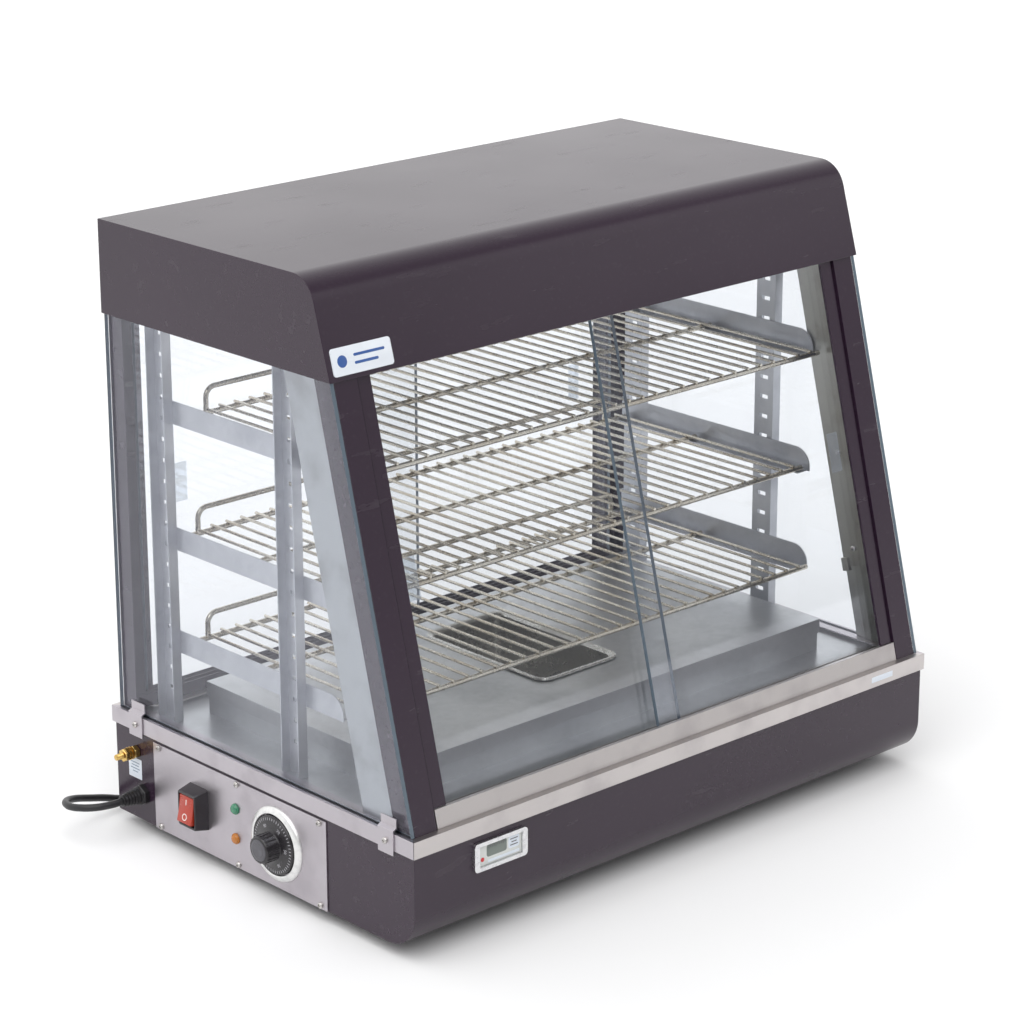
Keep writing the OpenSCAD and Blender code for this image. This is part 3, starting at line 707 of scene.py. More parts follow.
class Recipe(NodeTree):
    """A Geometry Nodes tree with named sizes, which grows one plain mesh from points or lines."""

    def __init__(self, name: str, sizes: Mapping[str, float | int]) -> None:
        """Starts the tree and its inputs.

        Args:
            name: The tree's name.
            sizes: Value of each named input.
        """
        super().__init__(bpy.data.node_groups.new(name, "GeometryNodeTree"))
        self.sizes = dict(sizes)
        face = self.tree.interface
        face.new_socket("Geometry", in_out="INPUT", socket_type="NodeSocketGeometry")
        face.new_socket("Geometry", in_out="OUTPUT", socket_type="NodeSocketGeometry")
        for key, value in self.sizes.items():
            kind = "NodeSocketInt" if isinstance(value, int) else "NodeSocketFloat"
            face.new_socket(key, in_out="INPUT", socket_type=kind)
        self.given = self.node("NodeGroupInput").outputs

    def vector(self, x: Any = 0.0, y: Any = 0.0, z: Any = 0.0) -> bpy.types.NodeSocket:
        """A vector from three numbers or sockets."""
        return self.node("ShaderNodeCombineXYZ", None, {0: x, 1: y, 2: z}).outputs[0]

    def math(self, operation: str, first: Any, second: Any) -> bpy.types.NodeSocket:
        """One Math node over two numbers or sockets."""
        return self.node("ShaderNodeMath", {"operation": operation}, {0: first, 1: second}).outputs[0]

    def swept(self, curve: bpy.types.NodeSocket, diameter: Any, sides: int) -> bpy.types.NodeSocket:
        """A round wire along a curve, with closed ends."""
        inputs = {"Resolution": sides, "Radius": self.math("MULTIPLY", diameter, 0.5)}
        ring = self.node("GeometryNodeCurvePrimitiveCircle", None, inputs).outputs[0]
        inputs = {"Curve": curve, "Profile Curve": ring, "Fill Caps": True}
        return self.node("GeometryNodeCurveToMesh", None, inputs).outputs[0]

    def grow(
        self, parts: Sequence[bpy.types.NodeSocket], seed: bpy.types.Mesh, finish: Finish
    ) -> bpy.types.Mesh:
        """Ends the tree and runs it.

        Args:
            parts: The sockets of what was made, which are joined.
            seed: The mesh that the tree starts from.
            finish: What the result is made of.

        Returns:
            A plain mesh.
        """
        both = self.node("GeometryNodeJoinGeometry")
        for part in parts:
            self.tree.links.new(part, both.inputs[0])
        real = self.node("GeometryNodeRealizeInstances", None, {0: both.outputs[0]})
        inputs = {"Geometry": real.outputs[0], "Material": finish.material()}
        dressed = self.node("GeometryNodeSetMaterial", None, inputs)
        self.node("NodeGroupOutput", None, {0: dressed.outputs[0]})
        host = bpy.data.objects.new(self.tree.name, seed)
        modifier = host.modifiers.new("recipe", "NODES")
        modifier.node_group = self.tree
        for item in self.tree.interface.items_tree:
            if item.in_out == "INPUT" and item.name in self.sizes:
                modifier[item.identifier] = self.sizes[item.name]
        shape = bmesh.new()
        shape.from_mesh(taken_from(host))
        mesh = finished(shape, self.tree.name)
        mesh.materials.append(finish.material())
        return mesh


def lines_mesh(lines: Iterable[Sequence[Point]], name: str) -> bpy.types.Mesh:
    """A mesh of loose edges along each line of points."""
    points: list[Point] = []
    edges: list[tuple[int, int]] = []
    for line in lines:
        start = len(points)
        points.extend(line)
        edges.extend((start + k, start + k + 1) for k in range(len(line) - 1))
    mesh = bpy.data.meshes.new(name)
    mesh.from_pydata(points, edges, [])
    return mesh


def ring_recipe(
    name: str, unit: bpy.types.Mesh, count: int, radius: float, finish: Finish
) -> bpy.types.Mesh:
    """Repeats a small shape round the Z axis.

    Args:
        name: The tree's name.
        unit: The shape, drawn at its place on a circle of radius 0, with X outwards.
        count: How many there are.
        radius: The circle's radius in metres.
        finish: What they are made of.

    Returns:
        A plain mesh.
    """
    source = bpy.data.objects.new(name + " unit", unit)
    recipe = Recipe(name, {"Count": count, "Radius": radius})
    count_in, radius_in = recipe.given["Count"], recipe.given["Radius"]
    circle = recipe.node("GeometryNodeMeshCircle", None, {"Vertices": count_in, "Radius": radius_in})
    share = recipe.math("DIVIDE", recipe.node("GeometryNodeInputIndex").outputs[0], count_in)
    angles = recipe.vector(z=recipe.math("MULTIPLY", share, 2 * math.pi))
    placed = recipe.node("GeometryNodeInstanceOnPoints", None, {
        "Points": circle.outputs[0],
        "Instance": recipe.node("GeometryNodeObjectInfo", None, {"Object": source}).outputs["Geometry"],
        "Rotation": recipe.node("FunctionNodeEulerToRotation", None, {0: angles}).outputs[0],
    })
    return recipe.grow([placed.outputs[0]], lines_mesh([], name), finish)


# ---------- workshop ----------


class Workshop:
    """Makes pieces round the frame and dresses the frame's own nodes."""

    def __init__(self, frame: Mapping[str, Any]) -> None:
        """Notes each node's body and material slot.
        """
        self.nodes = frame["nodes"]
        self.slots = {name: node.data.materials[0].name for name, node in self.nodes.items()}

    def add(
        self, name: str, mesh: bpy.types.Mesh, finish: Finish | None, like: str, replaces: bool = True
    ) -> bpy.types.Object:
        """Adds a piece.

        Args:
            name: The piece's name.
            mesh: Its mesh, in place.
            finish: Its finish, or None if the mesh has its materials.
            like: The CAD node whose body it takes.
            replaces: Whether it stands for that node.

        Returns:
            The piece.
        """
        if finish:
            mesh.materials.clear()
            mesh.materials.append(finish.material())
        piece = bpy.data.objects.new(name, mesh)
        bpy.context.scene.collection.objects.link(piece)
        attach(piece, self.nodes[like]["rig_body"])
        if replaces:
            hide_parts(like)
        return piece

    def mark(
        self, name: str, mesh: bpy.types.Mesh, finish: Finish | None, like: str
    ) -> bpy.types.Object:
        """Adds a piece that goes with a CAD node and replaces nothing."""
        return self.add(name, mesh, finish, like, replaces=False)

    def dress(self, node: str, finish: Finish) -> None:
        """Gives a CAD node its finish and keeps its shape."""
        for slot in self.nodes[node].material_slots:
            slot.material = finish.material()
        LOG.info("node %s keeps its shape, in %s", node, finish.name)

    def eased(
        self, node: str, name: str, finish: Finish, ease: float, steps: int = 2
    ) -> bpy.types.Object:
        """Replaces a CAD node by a copy whose edges are eased.

        Args:
            node: The CAD node.
            name: The piece's name.
            finish: Its finish.
            ease: Width of the eased edge in millimetres.
            steps: Faces across it.

        Returns:
            The piece.
        """
        shape = bmesh.new()
        shape.from_mesh(self.nodes[node].data)
        bmesh.ops.remove_doubles(shape, verts=shape.verts, dist=2e-6)
        flat = math.radians(0.5)
        bmesh.ops.dissolve_limit(shape, angle_limit=flat, verts=shape.verts, edges=shape.edges)
        mesh = evaluated(finished(shape, name, 30.0), {
            "BEVEL": {
                "width": ease * MM,
                "segments": steps,
                "limit_method": "ANGLE",
                "angle_limit": math.radians(30),
                "use_clamp_overlap": True,
                "harden_normals": True,
            },
        })
        return self.add(name, mesh, finish, node)


# ---------- sub-assemblies ----------


@dataclass
class Base:
    """Painted base, its bottom plate, its feet and the steel belt round its top."""

    shell_ease: float = 0.5
    belt_ease: float = 0.35
    foot_groove: float = 1.0

    def build(self, shop: Workshop) -> None:
        """Builds every piece of the base."""
        shop.eased("base_shell", "base_skin", PAINT, self.shell_ease)
        shop.eased("base_plate", "base_bottom_plate", GALVANISED, 0.3)
        for side, finish in {"front": BELT_X, "rear": BELT_X, "left": BELT_Y, "right": BELT_Y}.items():
            shop.eased(f"belt_{side}", f"belt_strip_{side}", finish, self.belt_ease)
        self._feet(shop)

    def _feet(self, shop: Workshop) -> None:
        """Four turned rubber feet with a groove round each."""
        low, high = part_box("rubber_feet")
        radius, rise = 15.0, (high.z - low.z) / MM
        profile = [
            (0, 3.0), (4.6, 3.0), (5.0, 2.6), (5.0, 0.4), (5.4, 0), (12.2, 0), (13.0, 0.8), (13.4, 3.6),
            (13.4 - self.foot_groove, 4.2), (13.6 - self.foot_groove, 5.4), (14.0, 6.0),
            (radius, rise - 0.6), (radius - 0.4, rise), (0, rise),
        ]
        reach = Vector((high.x - radius * MM, high.y - radius * MM, 0))
        spots = [(sx * reach.x, sy * reach.y) for sx in (-1, 1) for sy in (-1, 1)]
        feet = [moved(lathe(profile, "foot"), Matrix.Translation((x, y, low.z))) for x, y in spots]
        shop.add("turned_feet", joined(feet, "turned_feet"), RUBBER, "rubber_feet")


@dataclass
class Cabinet:
    """Floor, heater lid, water pan, posts, jambs and tracks."""

    fold_ease: float = 0.35
    pan_flange: float = 6.0
    pan_wall: float = 1.0
    pan_corner: float = 10.0

    def build(self, shop: Workshop) -> None:
        """Builds every piece of the cabinet's body."""
        shop.eased("floor_pan", "floor_sheet", SHEET, 0.3)
        shop.eased("heater_lid", "heater_cover", SHEET, 0.5, 3)
        for side in ("left", "right"):
            shop.eased(f"front_post_{side}", f"post_front_{side}", PAINT, self.fold_ease)
            shop.eased(f"rear_post_{side}", f"post_rear_{side}", PAINT, self.fold_ease)
            # The right jamb takes the darker copy of the left jamb's steel: painted shade.
            finish = BRUSHED_UP if side == "left" else SHADED_JAMB
            shop.eased(f"jamb_{side}", f"jamb_channel_{side}", finish, self.fold_ease)
        shop.eased("sill_rail", "front_sill", BELT_X, 0.3)
        shop.eased("rear_track", "rear_sill", PAINT, 0.25)
        self._water_pan(shop)

    def _water_pan(self, shop: Workshop) -> None:
        """A drawn pan with a rolled rim and rounded corners."""
        low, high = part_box("water_pan")
        width, length, depth = (high - low) / MM
        body, wall, corner = self.pan_flange, self.pan_wall, self.pan_corner
        steps = [
            (body + 6, corner - 5, 0.0),
            (body + 1.8, corner - 1.5, 0.8),
            (body + 0.3, corner, 4.0),
            (body, corner, depth - 3.0),
            (1.2, 13.0, depth - 2.6),
            (0.2, 14.0, depth - 2.0),
            (0.2, 14.0, depth - 0.9),
            (1.2, 13.4, depth),
            (2.6, 12.2, depth - 0.3),
            (body - 0.8, 10.2, depth - 0.8),
            (body + wall, corner - wall, depth - 2.6),
            (body + wall + 0.4, corner - wall, 4.6),
            (body + wall + 2.0, corner - wall - 1.5, 1.8),
            (body + wall + 6, corner - wall - 4.5, 1.0),
        ]
        sections = [
            (rounded_outline(width - 2 * inset, length - 2 * inset, radius), height)
            for inset, radius, height in steps
        ]
        foot = Matrix.Translation(((low.x + high.x) / 2, (low.y + high.y) / 2, low.z))
        mesh = moved(loft(sections, "pan"), foot)
        shop.add("drawn_water_pan", mesh, PAN_SHEET, "water_pan")


@dataclass
class Rack:
    """Slotted uprights, hooked brackets and the three wire shelves."""

    rod: float = 5.0
    wire: float = 3.0
    pitch: float = 17.5
    weld: float = 0.4
    middle_rod: float = 143.0
    guard_inset: float = 30.0
    guard_rise: float = 24.0
    guard_bend: float = 10.0

    def build(self, shop: Workshop) -> None:
        """Builds every piece of the rack."""
        for side in ("left", "right"):
            for row in ("front", "rear"):
                shop.eased(f"upright_{row}_{side}", f"slotted_upright_{row}_{side}", RACK, 0.22)
            for level in ("bottom", "middle", "top"):
                shop.eased(f"bracket_{level}_{side}", f"shelf_bracket_{level}_{side}", RACK, 0.25)
        for level in ("bottom", "middle", "top"):
            self._shelf(shop, f"shelf_{level}", f"wire_shelf_{level}")

    def _shelf(self, shop: Workshop, node: str, name: str) -> None:
        """One welded wire shelf: three rods, the wires over them and the rear guard."""
        low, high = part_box(node)
        rod = self.rod * MM
        front, level = low.y + rod / 2, low.z + rod / 2
        rear = high.y - 3 * MM
        end = high.x - rod * 0.02
        places = (front, front + self.middle_rod * MM, rear)
        rods = [[(-end, y, level), (end, y, level)] for y in places]
        side, top = end - self.guard_inset * MM, level + self.guard_rise * MM
        guard = [(-side, rear, level), (-side, rear, top), (side, rear, top), (side, rear, level)]
        recipe = Recipe(name, {
            "Rod diameter": rod,
            "Wire diameter": self.wire * MM,
            "Bend radius": self.guard_bend * MM,
            "Wire count": 2 * int((end / MM - 8) // self.pitch) + 1,
            "Wire pitch": self.pitch * MM,
            "Wire length": high.y - low.y - 0.6 * MM,
        })
        given = recipe.given
        curve = recipe.node("GeometryNodeMeshToCurve", None, {0: given["Geometry"]}).outputs[0]
        bent = recipe.node("GeometryNodeFilletCurve")
        if "Mode" in bent.inputs:
            recipe.feed(bent.inputs["Mode"], "Poly")
        else:
            bent.mode = "POLY"
        for key, value in {"Curve": curve, "Radius": given["Bend radius"], "Count": 8}.items():
            recipe.feed(bent.inputs[key], value)
        frame = recipe.swept(bent.outputs[0], given["Rod diameter"], 16)
        gaps = recipe.math("SUBTRACT", given["Wire count"], 1)
        span = recipe.math("MULTIPLY", gaps, given["Wire pitch"])
        first = recipe.vector(
            recipe.math("MULTIPLY", span, -0.5),
            low.y + 0.3 * MM,
            level + (self.rod + self.wire) / 2 * MM - self.weld * MM,
        )
        points = recipe.node("GeometryNodeMeshLine", None, {
            "Count": given["Wire count"],
            "Start Location": first,
            "Offset": recipe.vector(given["Wire pitch"]),
        })
        reach = {"End": recipe.vector(y=given["Wire length"])}
        straight = recipe.node("GeometryNodeCurvePrimitiveLine", None, reach)
        wire = recipe.swept(straight.outputs[0], given["Wire diameter"], 12)
        inputs = {"Points": points.outputs[0], "Instance": wire}
        wires = recipe.node("GeometryNodeInstanceOnPoints", None, inputs)
        mesh = recipe.grow([frame, wires.outputs[0]], lines_mesh([*rods, guard], name), WIRE)
        shop.add(name, mesh, None, node)


@dataclass
class Canopy:
    """Painted canopy with its liner, cabinet lamp and blank badge."""

    shell_ease: float = 0.5
    badge_width: float = 66.0
    badge_height: float = 24.0
    badge_edge: float = 3.0
    badge_from_side: float = 38.5
    badge_rise: float = 15.5
    lean: float = math.radians(16.25)

    def build(self, shop: Workshop) -> None:
        """Builds every piece of the canopy."""
        shop.eased("canopy_shell", "canopy_skin", PAINT, self.shell_ease, 3)
        shop.eased("canopy_liner", "canopy_inner_sheet", SHEET, 0.25)
        shop.dress("lamp_holder", CERAMIC)
        shop.dress("lamp_bulb", BULB)
        self._badge(shop)

    def _badge(self, shop: Workshop) -> None:
        """A white plate with a plain blue disc and two bars, on the canopy's leaning front."""
        low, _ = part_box("canopy_shell")
        rise = self.badge_rise * MM
        across = low.x + self.badge_from_side * MM
        foot = Vector((across, low.y + rise * math.tan(self.lean), low.z + rise))
        place = Matrix.Translation(foot) @ Matrix.Rotation(math.pi / 2 - self.lean, 4, "X")
        base = plate(self.badge_width, self.badge_height, 1.0, self.badge_edge, 0.4, "badge")
        shop.mark("blank_badge", moved(base, place), BADGE, "canopy_shell")
        disc = lathe([(0, 0.9), (5.2, 0.9), (5.2, 1.10), (5.0, 1.15), (0, 1.15)], "disc")
        bars = [
            moved(plate(length, 2.4, 0.25, 1.1, 0.1, "bar"), shift(x, y, 0.9))
            for length, x, y in ((34, 8, 3.4), (26, 4, -3.4))
        ]
        marks = moved(joined([moved(disc, shift(-22)), *bars], "badge_marks"), place)
        shop.mark("badge_marks", marks, BADGE_INK, "canopy_shell")


@dataclass
class Glazing:
    """Fixed side panes, their clips, the sliding doors and their clear grips."""

    ease: float = 0.35

    def build(self, shop: Workshop) -> None:
        """Builds every pane and what holds it."""
        for side in ("left", "right"):
            self._pane(shop, f"side_glass_{side}", f"side_pane_{side}", 0)
            self._pane(shop, f"front_door_{side}", f"front_pane_{side}", 1)
            self._pane(shop, f"rear_door_{side}", f"rear_pane_{side}", 1)
            shop.eased(f"front_pull_{side}", f"front_grip_{side}", PULL, self.ease)
            shop.eased(f"rear_pull_{side}", f"rear_grip_{side}", PULL, self.ease)
        shop.eased("glass_clips", "pane_clips", BELT_Y, 0.3)

    def _pane(self, shop: Workshop, node: str, name: str, across: int) -> None:
        """A pane whose ground edges have their own finish.

        Args:
            shop: The workshop.
            node: The CAD node.
            name: The piece's name.
            across: Axis that runs most nearly through the glass, 0 for X and 1 for Y.
        """
        piece = shop.eased(node, name, GLASS, self.ease, 1)
        piece.data.materials.append(GLASS_EDGE.material())
        for face in piece.data.polygons:
            face.material_index = 0 if abs(face.normal[across]) > 0.9 else 1


@dataclass
class Fasteners:
    """Every visible screw, as one group of separate heads."""

    head: float = 6.0

    def build(self, shop: Workshop) -> None:
        """Builds the screws at the places of the CAD screws."""
        spots = self._spots(shop.nodes["small_screws"].data)
        seed = bpy.data.meshes.new("screw spots")
        seed.from_pydata([at for at, _ in spots], [], [])
        turns = seed.attributes.new("turn", "FLOAT_VECTOR", "POINT")
        turns.data.foreach_set("vector", [v for _, turn in spots for v in turn])
        unit = bpy.data.objects.new("screw unit", self._screw())
        recipe = Recipe("screw set", {"Size": 1.0})
        shape = recipe.node("GeometryNodeObjectInfo", None, {"Object": unit})
        kind = {"data_type": "FLOAT_VECTOR"}
        turn = recipe.node("GeometryNodeInputNamedAttribute", kind, {"Name": "turn"})
        turned = recipe.node("FunctionNodeEulerToRotation", None, {0: turn.outputs[0]})
        placed = recipe.node("GeometryNodeInstanceOnPoints", None, {
            "Points": recipe.given["Geometry"],
            "Instance": shape.outputs["Geometry"],
            "Rotation": turned.outputs[0],
            "Scale": recipe.given["Size"],
        })
        shop.add("screw_heads", recipe.grow([placed.outputs[0]], seed, SCREW), None, "small_screws")

    def _spots(self, mesh: bpy.types.Mesh) -> list[tuple[Point, Point]]:
        """Foot and turn of each screw, read from the loose parts of the CAD node."""
        shape = bmesh.new()
        shape.from_mesh(mesh)
        bmesh.ops.remove_doubles(shape, verts=shape.verts, dist=2e-6)
        left = set(shape.verts)
        spots = []
        while left:
            part, queue = set(), [left.pop()]
            while queue:
                vert = queue.pop()
                part.add(vert)
                near = {edge.other_vert(vert) for edge in vert.link_edges} & left
                left -= near
                queue.extend(near)
            spots.append(self._spot([v.co for v in part]))
        shape.free()
        return spots

    @staticmethod
    def _spot(points: list[Vector]) -> tuple[Point, Point]:
        """Foot and turn of one screw, whose head is lower than it is wide."""
        low = Vector(min(p[k] for p in points) for k in range(3))
        high = Vector(max(p[k] for p in points) for k in range(3))
        middle = (low + high) / 2
        faces_left = middle.x < 0 and high.x < -0.31 or middle.x > 0 and middle.x < 0.305
        foot = (high.x if faces_left else low.x, middle.y, middle.z)
        quarter = -math.pi / 2 if faces_left else math.pi / 2
        return foot, (0.0, quarter, 0.0)

    def _screw(self) -> bpy.types.Mesh:
        """A domed pan head with a cross recess."""
        r = self.head / 2
        dome = [(r, 1.1), (r - 0.25, 1.7), (r - 0.8, 2.15), (r - 1.7, 2.42)]
        head = lathe([(0, 0), (r, 0), *dome, (0, 2.5)], "head", 24)
        cutter = bmesh.new()
        for long, wide in ((1.7, 0.35), (0.35, 1.7)):
            size = Matrix.Diagonal((2 * long * MM, 2 * wide * MM, 3 * MM, 1))
            bmesh.ops.create_cube(cutter, size=1.0, matrix=shift(z=2.7) @ size)
        tool = bpy.data.objects.new("cross cutter", finished(cutter, "cross cutter"))
        bpy.context.scene.collection.objects.link(tool)
        settings = {"operation": "DIFFERENCE", "solver": "EXACT", "use_self": True, "object": tool}
        mesh = evaluated(head, {"BOOLEAN": settings})
        bpy.data.objects.remove(tool)
        return mesh


@dataclass
class Controls:
    """Control panel with the switch, two lamps, the thermostat dial, and the thermometer."""

    skirt: float = 28.0
    grip: float = 13.2
    rocker_width: float = 20.4
    rocker_half: float = 13.1
    rocker_tilt: float = 10.0
    ticks: int = 50
    ribs: int = 18
    numbers: tuple[int, ...] = (30, 50, 70, 90, 110)

    def build(self, shop: Workshop) -> None:
        """Builds every piece of the controls."""
        shop.eased("control_panel", "control_plate", BELT_Y, 0.3)
        self._switch(shop)
        self._lamps(shop)
        self._dial(shop)
        self._thermometer(shop)

    def _switch(self, shop: Workshop) -> None:
        """The switch housing, its rocker, and a ring and a bar on the rocker."""
        self._switch_housing(shop)
        low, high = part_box("switch_rocker")
        pivot = beside(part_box("control_panel")[0].x - 12 * MM, low, high)
        place = Matrix.Translation(pivot) @ Matrix.Rotation(math.radians(self.rocker_tilt), 4, "Y")
        half = self.rocker_width / 2
        ends = [(half, 0.7), (half - 0.25, 0.2), (half - 0.8, 0.0)]
        sections = [(self._rocker_outline(inset), -y) for y, inset in ends]
        sections += [(self._rocker_outline(inset), y) for y, inset in reversed(ends)]
        rocker = moved(loft(sections, "rocker_cap"), place @ Matrix.Rotation(math.pi / 2, 4, "X"))
        shop.add("rocker_cap", rocker, ROCKER, "switch_rocker")
        ring = lathe([(2.5, 0), (3.3, 0), (3.3, 0.16), (2.5, 0.16), (2.5, 0)], "off ring", 32)
        bar = plate(5.2, 1.0, 0.16, 0.4, 0.05, "on bar")
        marks = []
        for mesh, height in ((ring, -7.0), (bar, 7.0)):
            out, slope = self._rocker_face(height)
            turn = Matrix.Rotation(-math.pi / 2 - slope, 4, "Y")
            marks.append(moved(mesh, shift(-(out - 0.04), 0, height) @ turn))
        both = moved(joined(marks, "rocker_marks"), place)
        shop.mark("rocker_marks", both, ROCKER_MARK, "switch_rocker")

    def _switch_housing(self, shop: Workshop) -> None:
        """A tapered housing with a rounded front rim, a window and its contact block behind."""
        low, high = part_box("switch_body")
        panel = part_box("control_panel")[0].x
        at = beside(panel, low, high)
        front = (panel - low.x) / MM
        wide, tall = self.rocker_width + 1.2, 2 * self.rocker_half + 3.0
        sections = [
            (rounded_outline(40.0, 28.0, 2.0), 0.0),
            (rounded_outline(34.6, 25.2, 2.0), front - 1.6),
            (rounded_outline(33.9, 24.7, 1.8), front - 0.5),
            (rounded_outline(32.9, 24.0, 1.6), front),
            (rounded_outline(tall + 1.4, wide + 1.4, 1.4), front),
            (rounded_outline(tall + 0.4, wide + 0.4, 1.0), front - 0.3),
            (rounded_outline(tall, wide, 0.8), front - 1.0),
            (rounded_outline(tall, wide, 0.8), 5.0),
        ]
        depth = 23.0
        block = moved(plate(30.0, 22.0, depth, 0.8, 0.3, "contact block"), shift(z=-depth))
        body = moved(joined([loft(sections, "housing"), block], "switch_housing"), outward_left(at))
        shop.add("switch_housing", body, SWITCH, "switch_body")

    def _rocker_face(self, height: float) -> tuple[float, float]:
        """How far the rocker's hollow face stands out at a height, and its slope there."""
        share = height / self.rocker_half
        return 3.95 + 0.8 * share ** 2, 1.6 * share / self.rocker_half

    def _rocker_outline(self, inset: float) -> list[tuple[float, float]]:
        """Side outline of the rocker: a hollow face, rounded ends and a blunt back."""
        half = self.rocker_half - inset
        steps = 12
        heights = [(half - 0.9) * (1 - 2 * k / steps) for k in range(steps + 1)]
        face = [(inset - self._rocker_face(z)[0], z) for z in heights]
        tip = face[0][0]
        end = [(1.0, half), (tip + 1.1, half), (tip + 0.3, half - 0.3)]
        return [(5.0 - inset, 4.0), *end, *face, *((x, -z) for x, z in reversed(end)), (5.0 - inset, -4.0)]

    def _lamps(self, shop: Workshop) -> None:
        """Two domed signal lenses with a rim."""
        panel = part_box("control_panel")[0].x
        profile = [
            (0, -15.8), (4.0, -15.8), (4.0, 0), (5.2, 0.1), (5.2, 1.2), (5.0, 1.5), (4.6, 1.6), (4.4, 2.2),
            (3.9, 2.9), (3.0, 3.4), (1.6, 3.7), (0, 3.75),
        ]
        for colour, finish in {"green": GREEN_LENS, "amber": AMBER_LENS}.items():
            name, node = f"{colour}_signal", f"lamp_{colour}"
            low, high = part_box(node)
            lens = moved(lathe(profile, name, 40), outward_left(beside(panel, low, high)))
            shop.add(name, lens, finish, node)

    def _skirt_height(self, radius: float) -> float:
        """Height of the skirt's face above the panel at a radius, in millimetres."""
        return 7.0 - 0.13 * (radius - self.grip)

    def _dial(self, shop: Workshop) -> None:
        """The ring, the knob with its ribs, and the graduations on its skirt."""
        low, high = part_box("thermostat_knob")
        at = beside(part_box("control_panel")[0].x, low, high)
        place = outward_left(at)
        outer = (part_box("thermostat_ring")[1].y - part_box("thermostat_ring")[0].y) / 2 / MM
        ring = [
            (28.9, 0), (outer, 0), (outer, 0.5), (outer - 0.4, 1.6), (outer - 1.6, 2.8), (outer - 2.6, 3.2),
            (30.8, 4.3), (29.6, 4.4), (29.0, 4.0), (28.9, 3.0), (28.9, 0),
        ]
        shop.add("dial_ring", moved(lathe(ring, "dial_ring", 96), place), RING, "thermostat_ring")
        g, s = self.grip, self.skirt
        knob = [
            (0, -6.8), (2.9, -6.8), (2.9, 1.0), (s - 0.4, 1.0), (s, 1.4), (s, 3.6), (s - 0.4, 4.4),
            (s - 1.2, self._skirt_height(s) + 0.1), (g + 1.2, self._skirt_height(g + 1.2)), (g + 0.4, 7.2),
            (g, 8.0), (g - 0.5, 20.2), (g - 0.9, 21.2), (g - 1.6, 21.7), (g - 2.6, 21.8), (g - 2.8, 21.4),
            (0, 21.4),
        ]
        shop.add("dial_knob", moved(lathe(knob, "dial_knob", 96), place), KNOB, "thermostat_knob")
        rib = moved(plate(1.5, 1.4, 11.5, 0.5, 0.4, "rib"), shift(0, 0, 8.6))
        ribs = ring_recipe("knob ribs", rib, self.ribs, (g - 0.5) * MM, KNOB_RIB)
        shop.mark("knob_ribs", moved(ribs, place), None, "thermostat_knob")
        cap = [(0, 21.3), (g - 3.0, 21.3), (g - 3.0, 21.7), (g - 3.3, 21.85), (7.6, 21.85), (7.4, 21.7),
               (6.8, 21.7), (6.6, 21.9), (0, 21.95)]
        shop.mark("knob_cap", moved(lathe(cap, "knob_cap", 64), place), KNOB_CAP, "thermostat_knob")
        self._graduations(shop, place)

    def _graduations(self, shop: Workshop, place: Matrix) -> None:
        """Ticks and plain numbers on the skirt."""
        tick = moved(plate(2.6, 0.55, 0.12, 0.25, 0.03, "tick"), shift(-1.3))
        ticks = ring_recipe("dial ticks", tick, self.ticks, (self.skirt - 2.0) * MM, KNOB_MARK)
        figures = []
        for k, number in enumerate(self.numbers):
            turn = math.radians(-150 + 60 * k)
            spot = Matrix.Rotation(turn, 4, "Z") @ shift(18.6)
            figures.append(moved(self._figure(str(number)), spot @ Matrix.Rotation(-math.pi / 2, 4, "Z")))
        mesh = joined([ticks, *figures], "dial_graduations")
        for vert in mesh.vertices:
            vert.co.z += (self._skirt_height(math.hypot(vert.co.x, vert.co.y) / MM) - 0.02) * MM
        shop.mark("dial_graduations", moved(mesh, place), KNOB_MARK, "thermostat_knob")

    @staticmethod
    def _figure(text: str) -> bpy.types.Mesh:
        """A short number as a thin mesh, centred on the origin."""
        curve = bpy.data.curves.new(text, "FONT")
        curve.body = text
        curve.size = 4.4 * MM
        curve.extrude = 0.05 * MM
        curve.align_x = "CENTER"
        curve.align_y = "CENTER"
        curve.resolution_u = 3
        host = bpy.data.objects.new(text, curve)
        bpy.context.scene.collection.objects.link(host)
        mesh = bpy.data.meshes.new_from_object(host.evaluated_get(bpy.context.evaluated_depsgraph_get()))
        bpy.data.objects.remove(host)
        return mesh

    def _thermometer(self, shop: Workshop) -> None:
        """The bezel and the pale face behind it, with its screen, label, scale and red bulb."""
        shop.eased("thermometer", "meter_bezel", CHROME, 0.7, 3)
        low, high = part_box("thermometer")
        at = Vector(((low.x + high.x) / 2, low.y + 2.5 * MM, (low.z + high.z) / 2))
        place = outward_front(at)

        def card(width: float, height: float, x: float, y: float, foot: float = 0.45) -> bpy.types.Mesh:
            """A thin rounded card on the meter's face."""
            spot = shift(x, y, foot)
            return moved(plate(width, height, 0.2, min(width, height) * 0.2, 0.04, "card"), spot)

        face = moved(plate(49.6, 18.6, 0.5, 0.6, 0.1, "meter_face"), place)
        shop.mark("meter_face", face, METER_FACE, "thermometer")
        screen = moved(card(23.5, 11.5, -4.2, 3.2), place)
        shop.mark("meter_screen", screen, METER_SCREEN, "thermometer")
        label = moved(joined([card(13.0, 11.5, 16.0, 3.2), card(37.0, 2.6, 4.0, -6.6)], "meter_label"), place)
        shop.mark("meter_label", label, LABEL, "thermometer")
        marks = [card(0.6, 3.6 if k % 4 == 0 else 2.0, -13.5 + 2.1 * k, 6.6, 0.6) for k in range(10)]
        marks += [card(wide, 0.8, 16.0, y, 0.6) for wide, y in ((9.0, 6.0), (6.0, 3.2), (9.0, 0.4))]
        shop.mark("meter_scale", moved(joined(marks, "meter_scale"), place), METER_INK, "thermometer")
        bulb = lathe([(0, 0.4), (2.0, 0.4), (2.0, 0.8), (1.5, 1.1), (0, 1.2)], "bulb", 24)
        bulb = moved(bulb, place @ shift(-20.9, -3.4))
        shop.mark("meter_bulb", bulb, METER_RED, "thermometer")


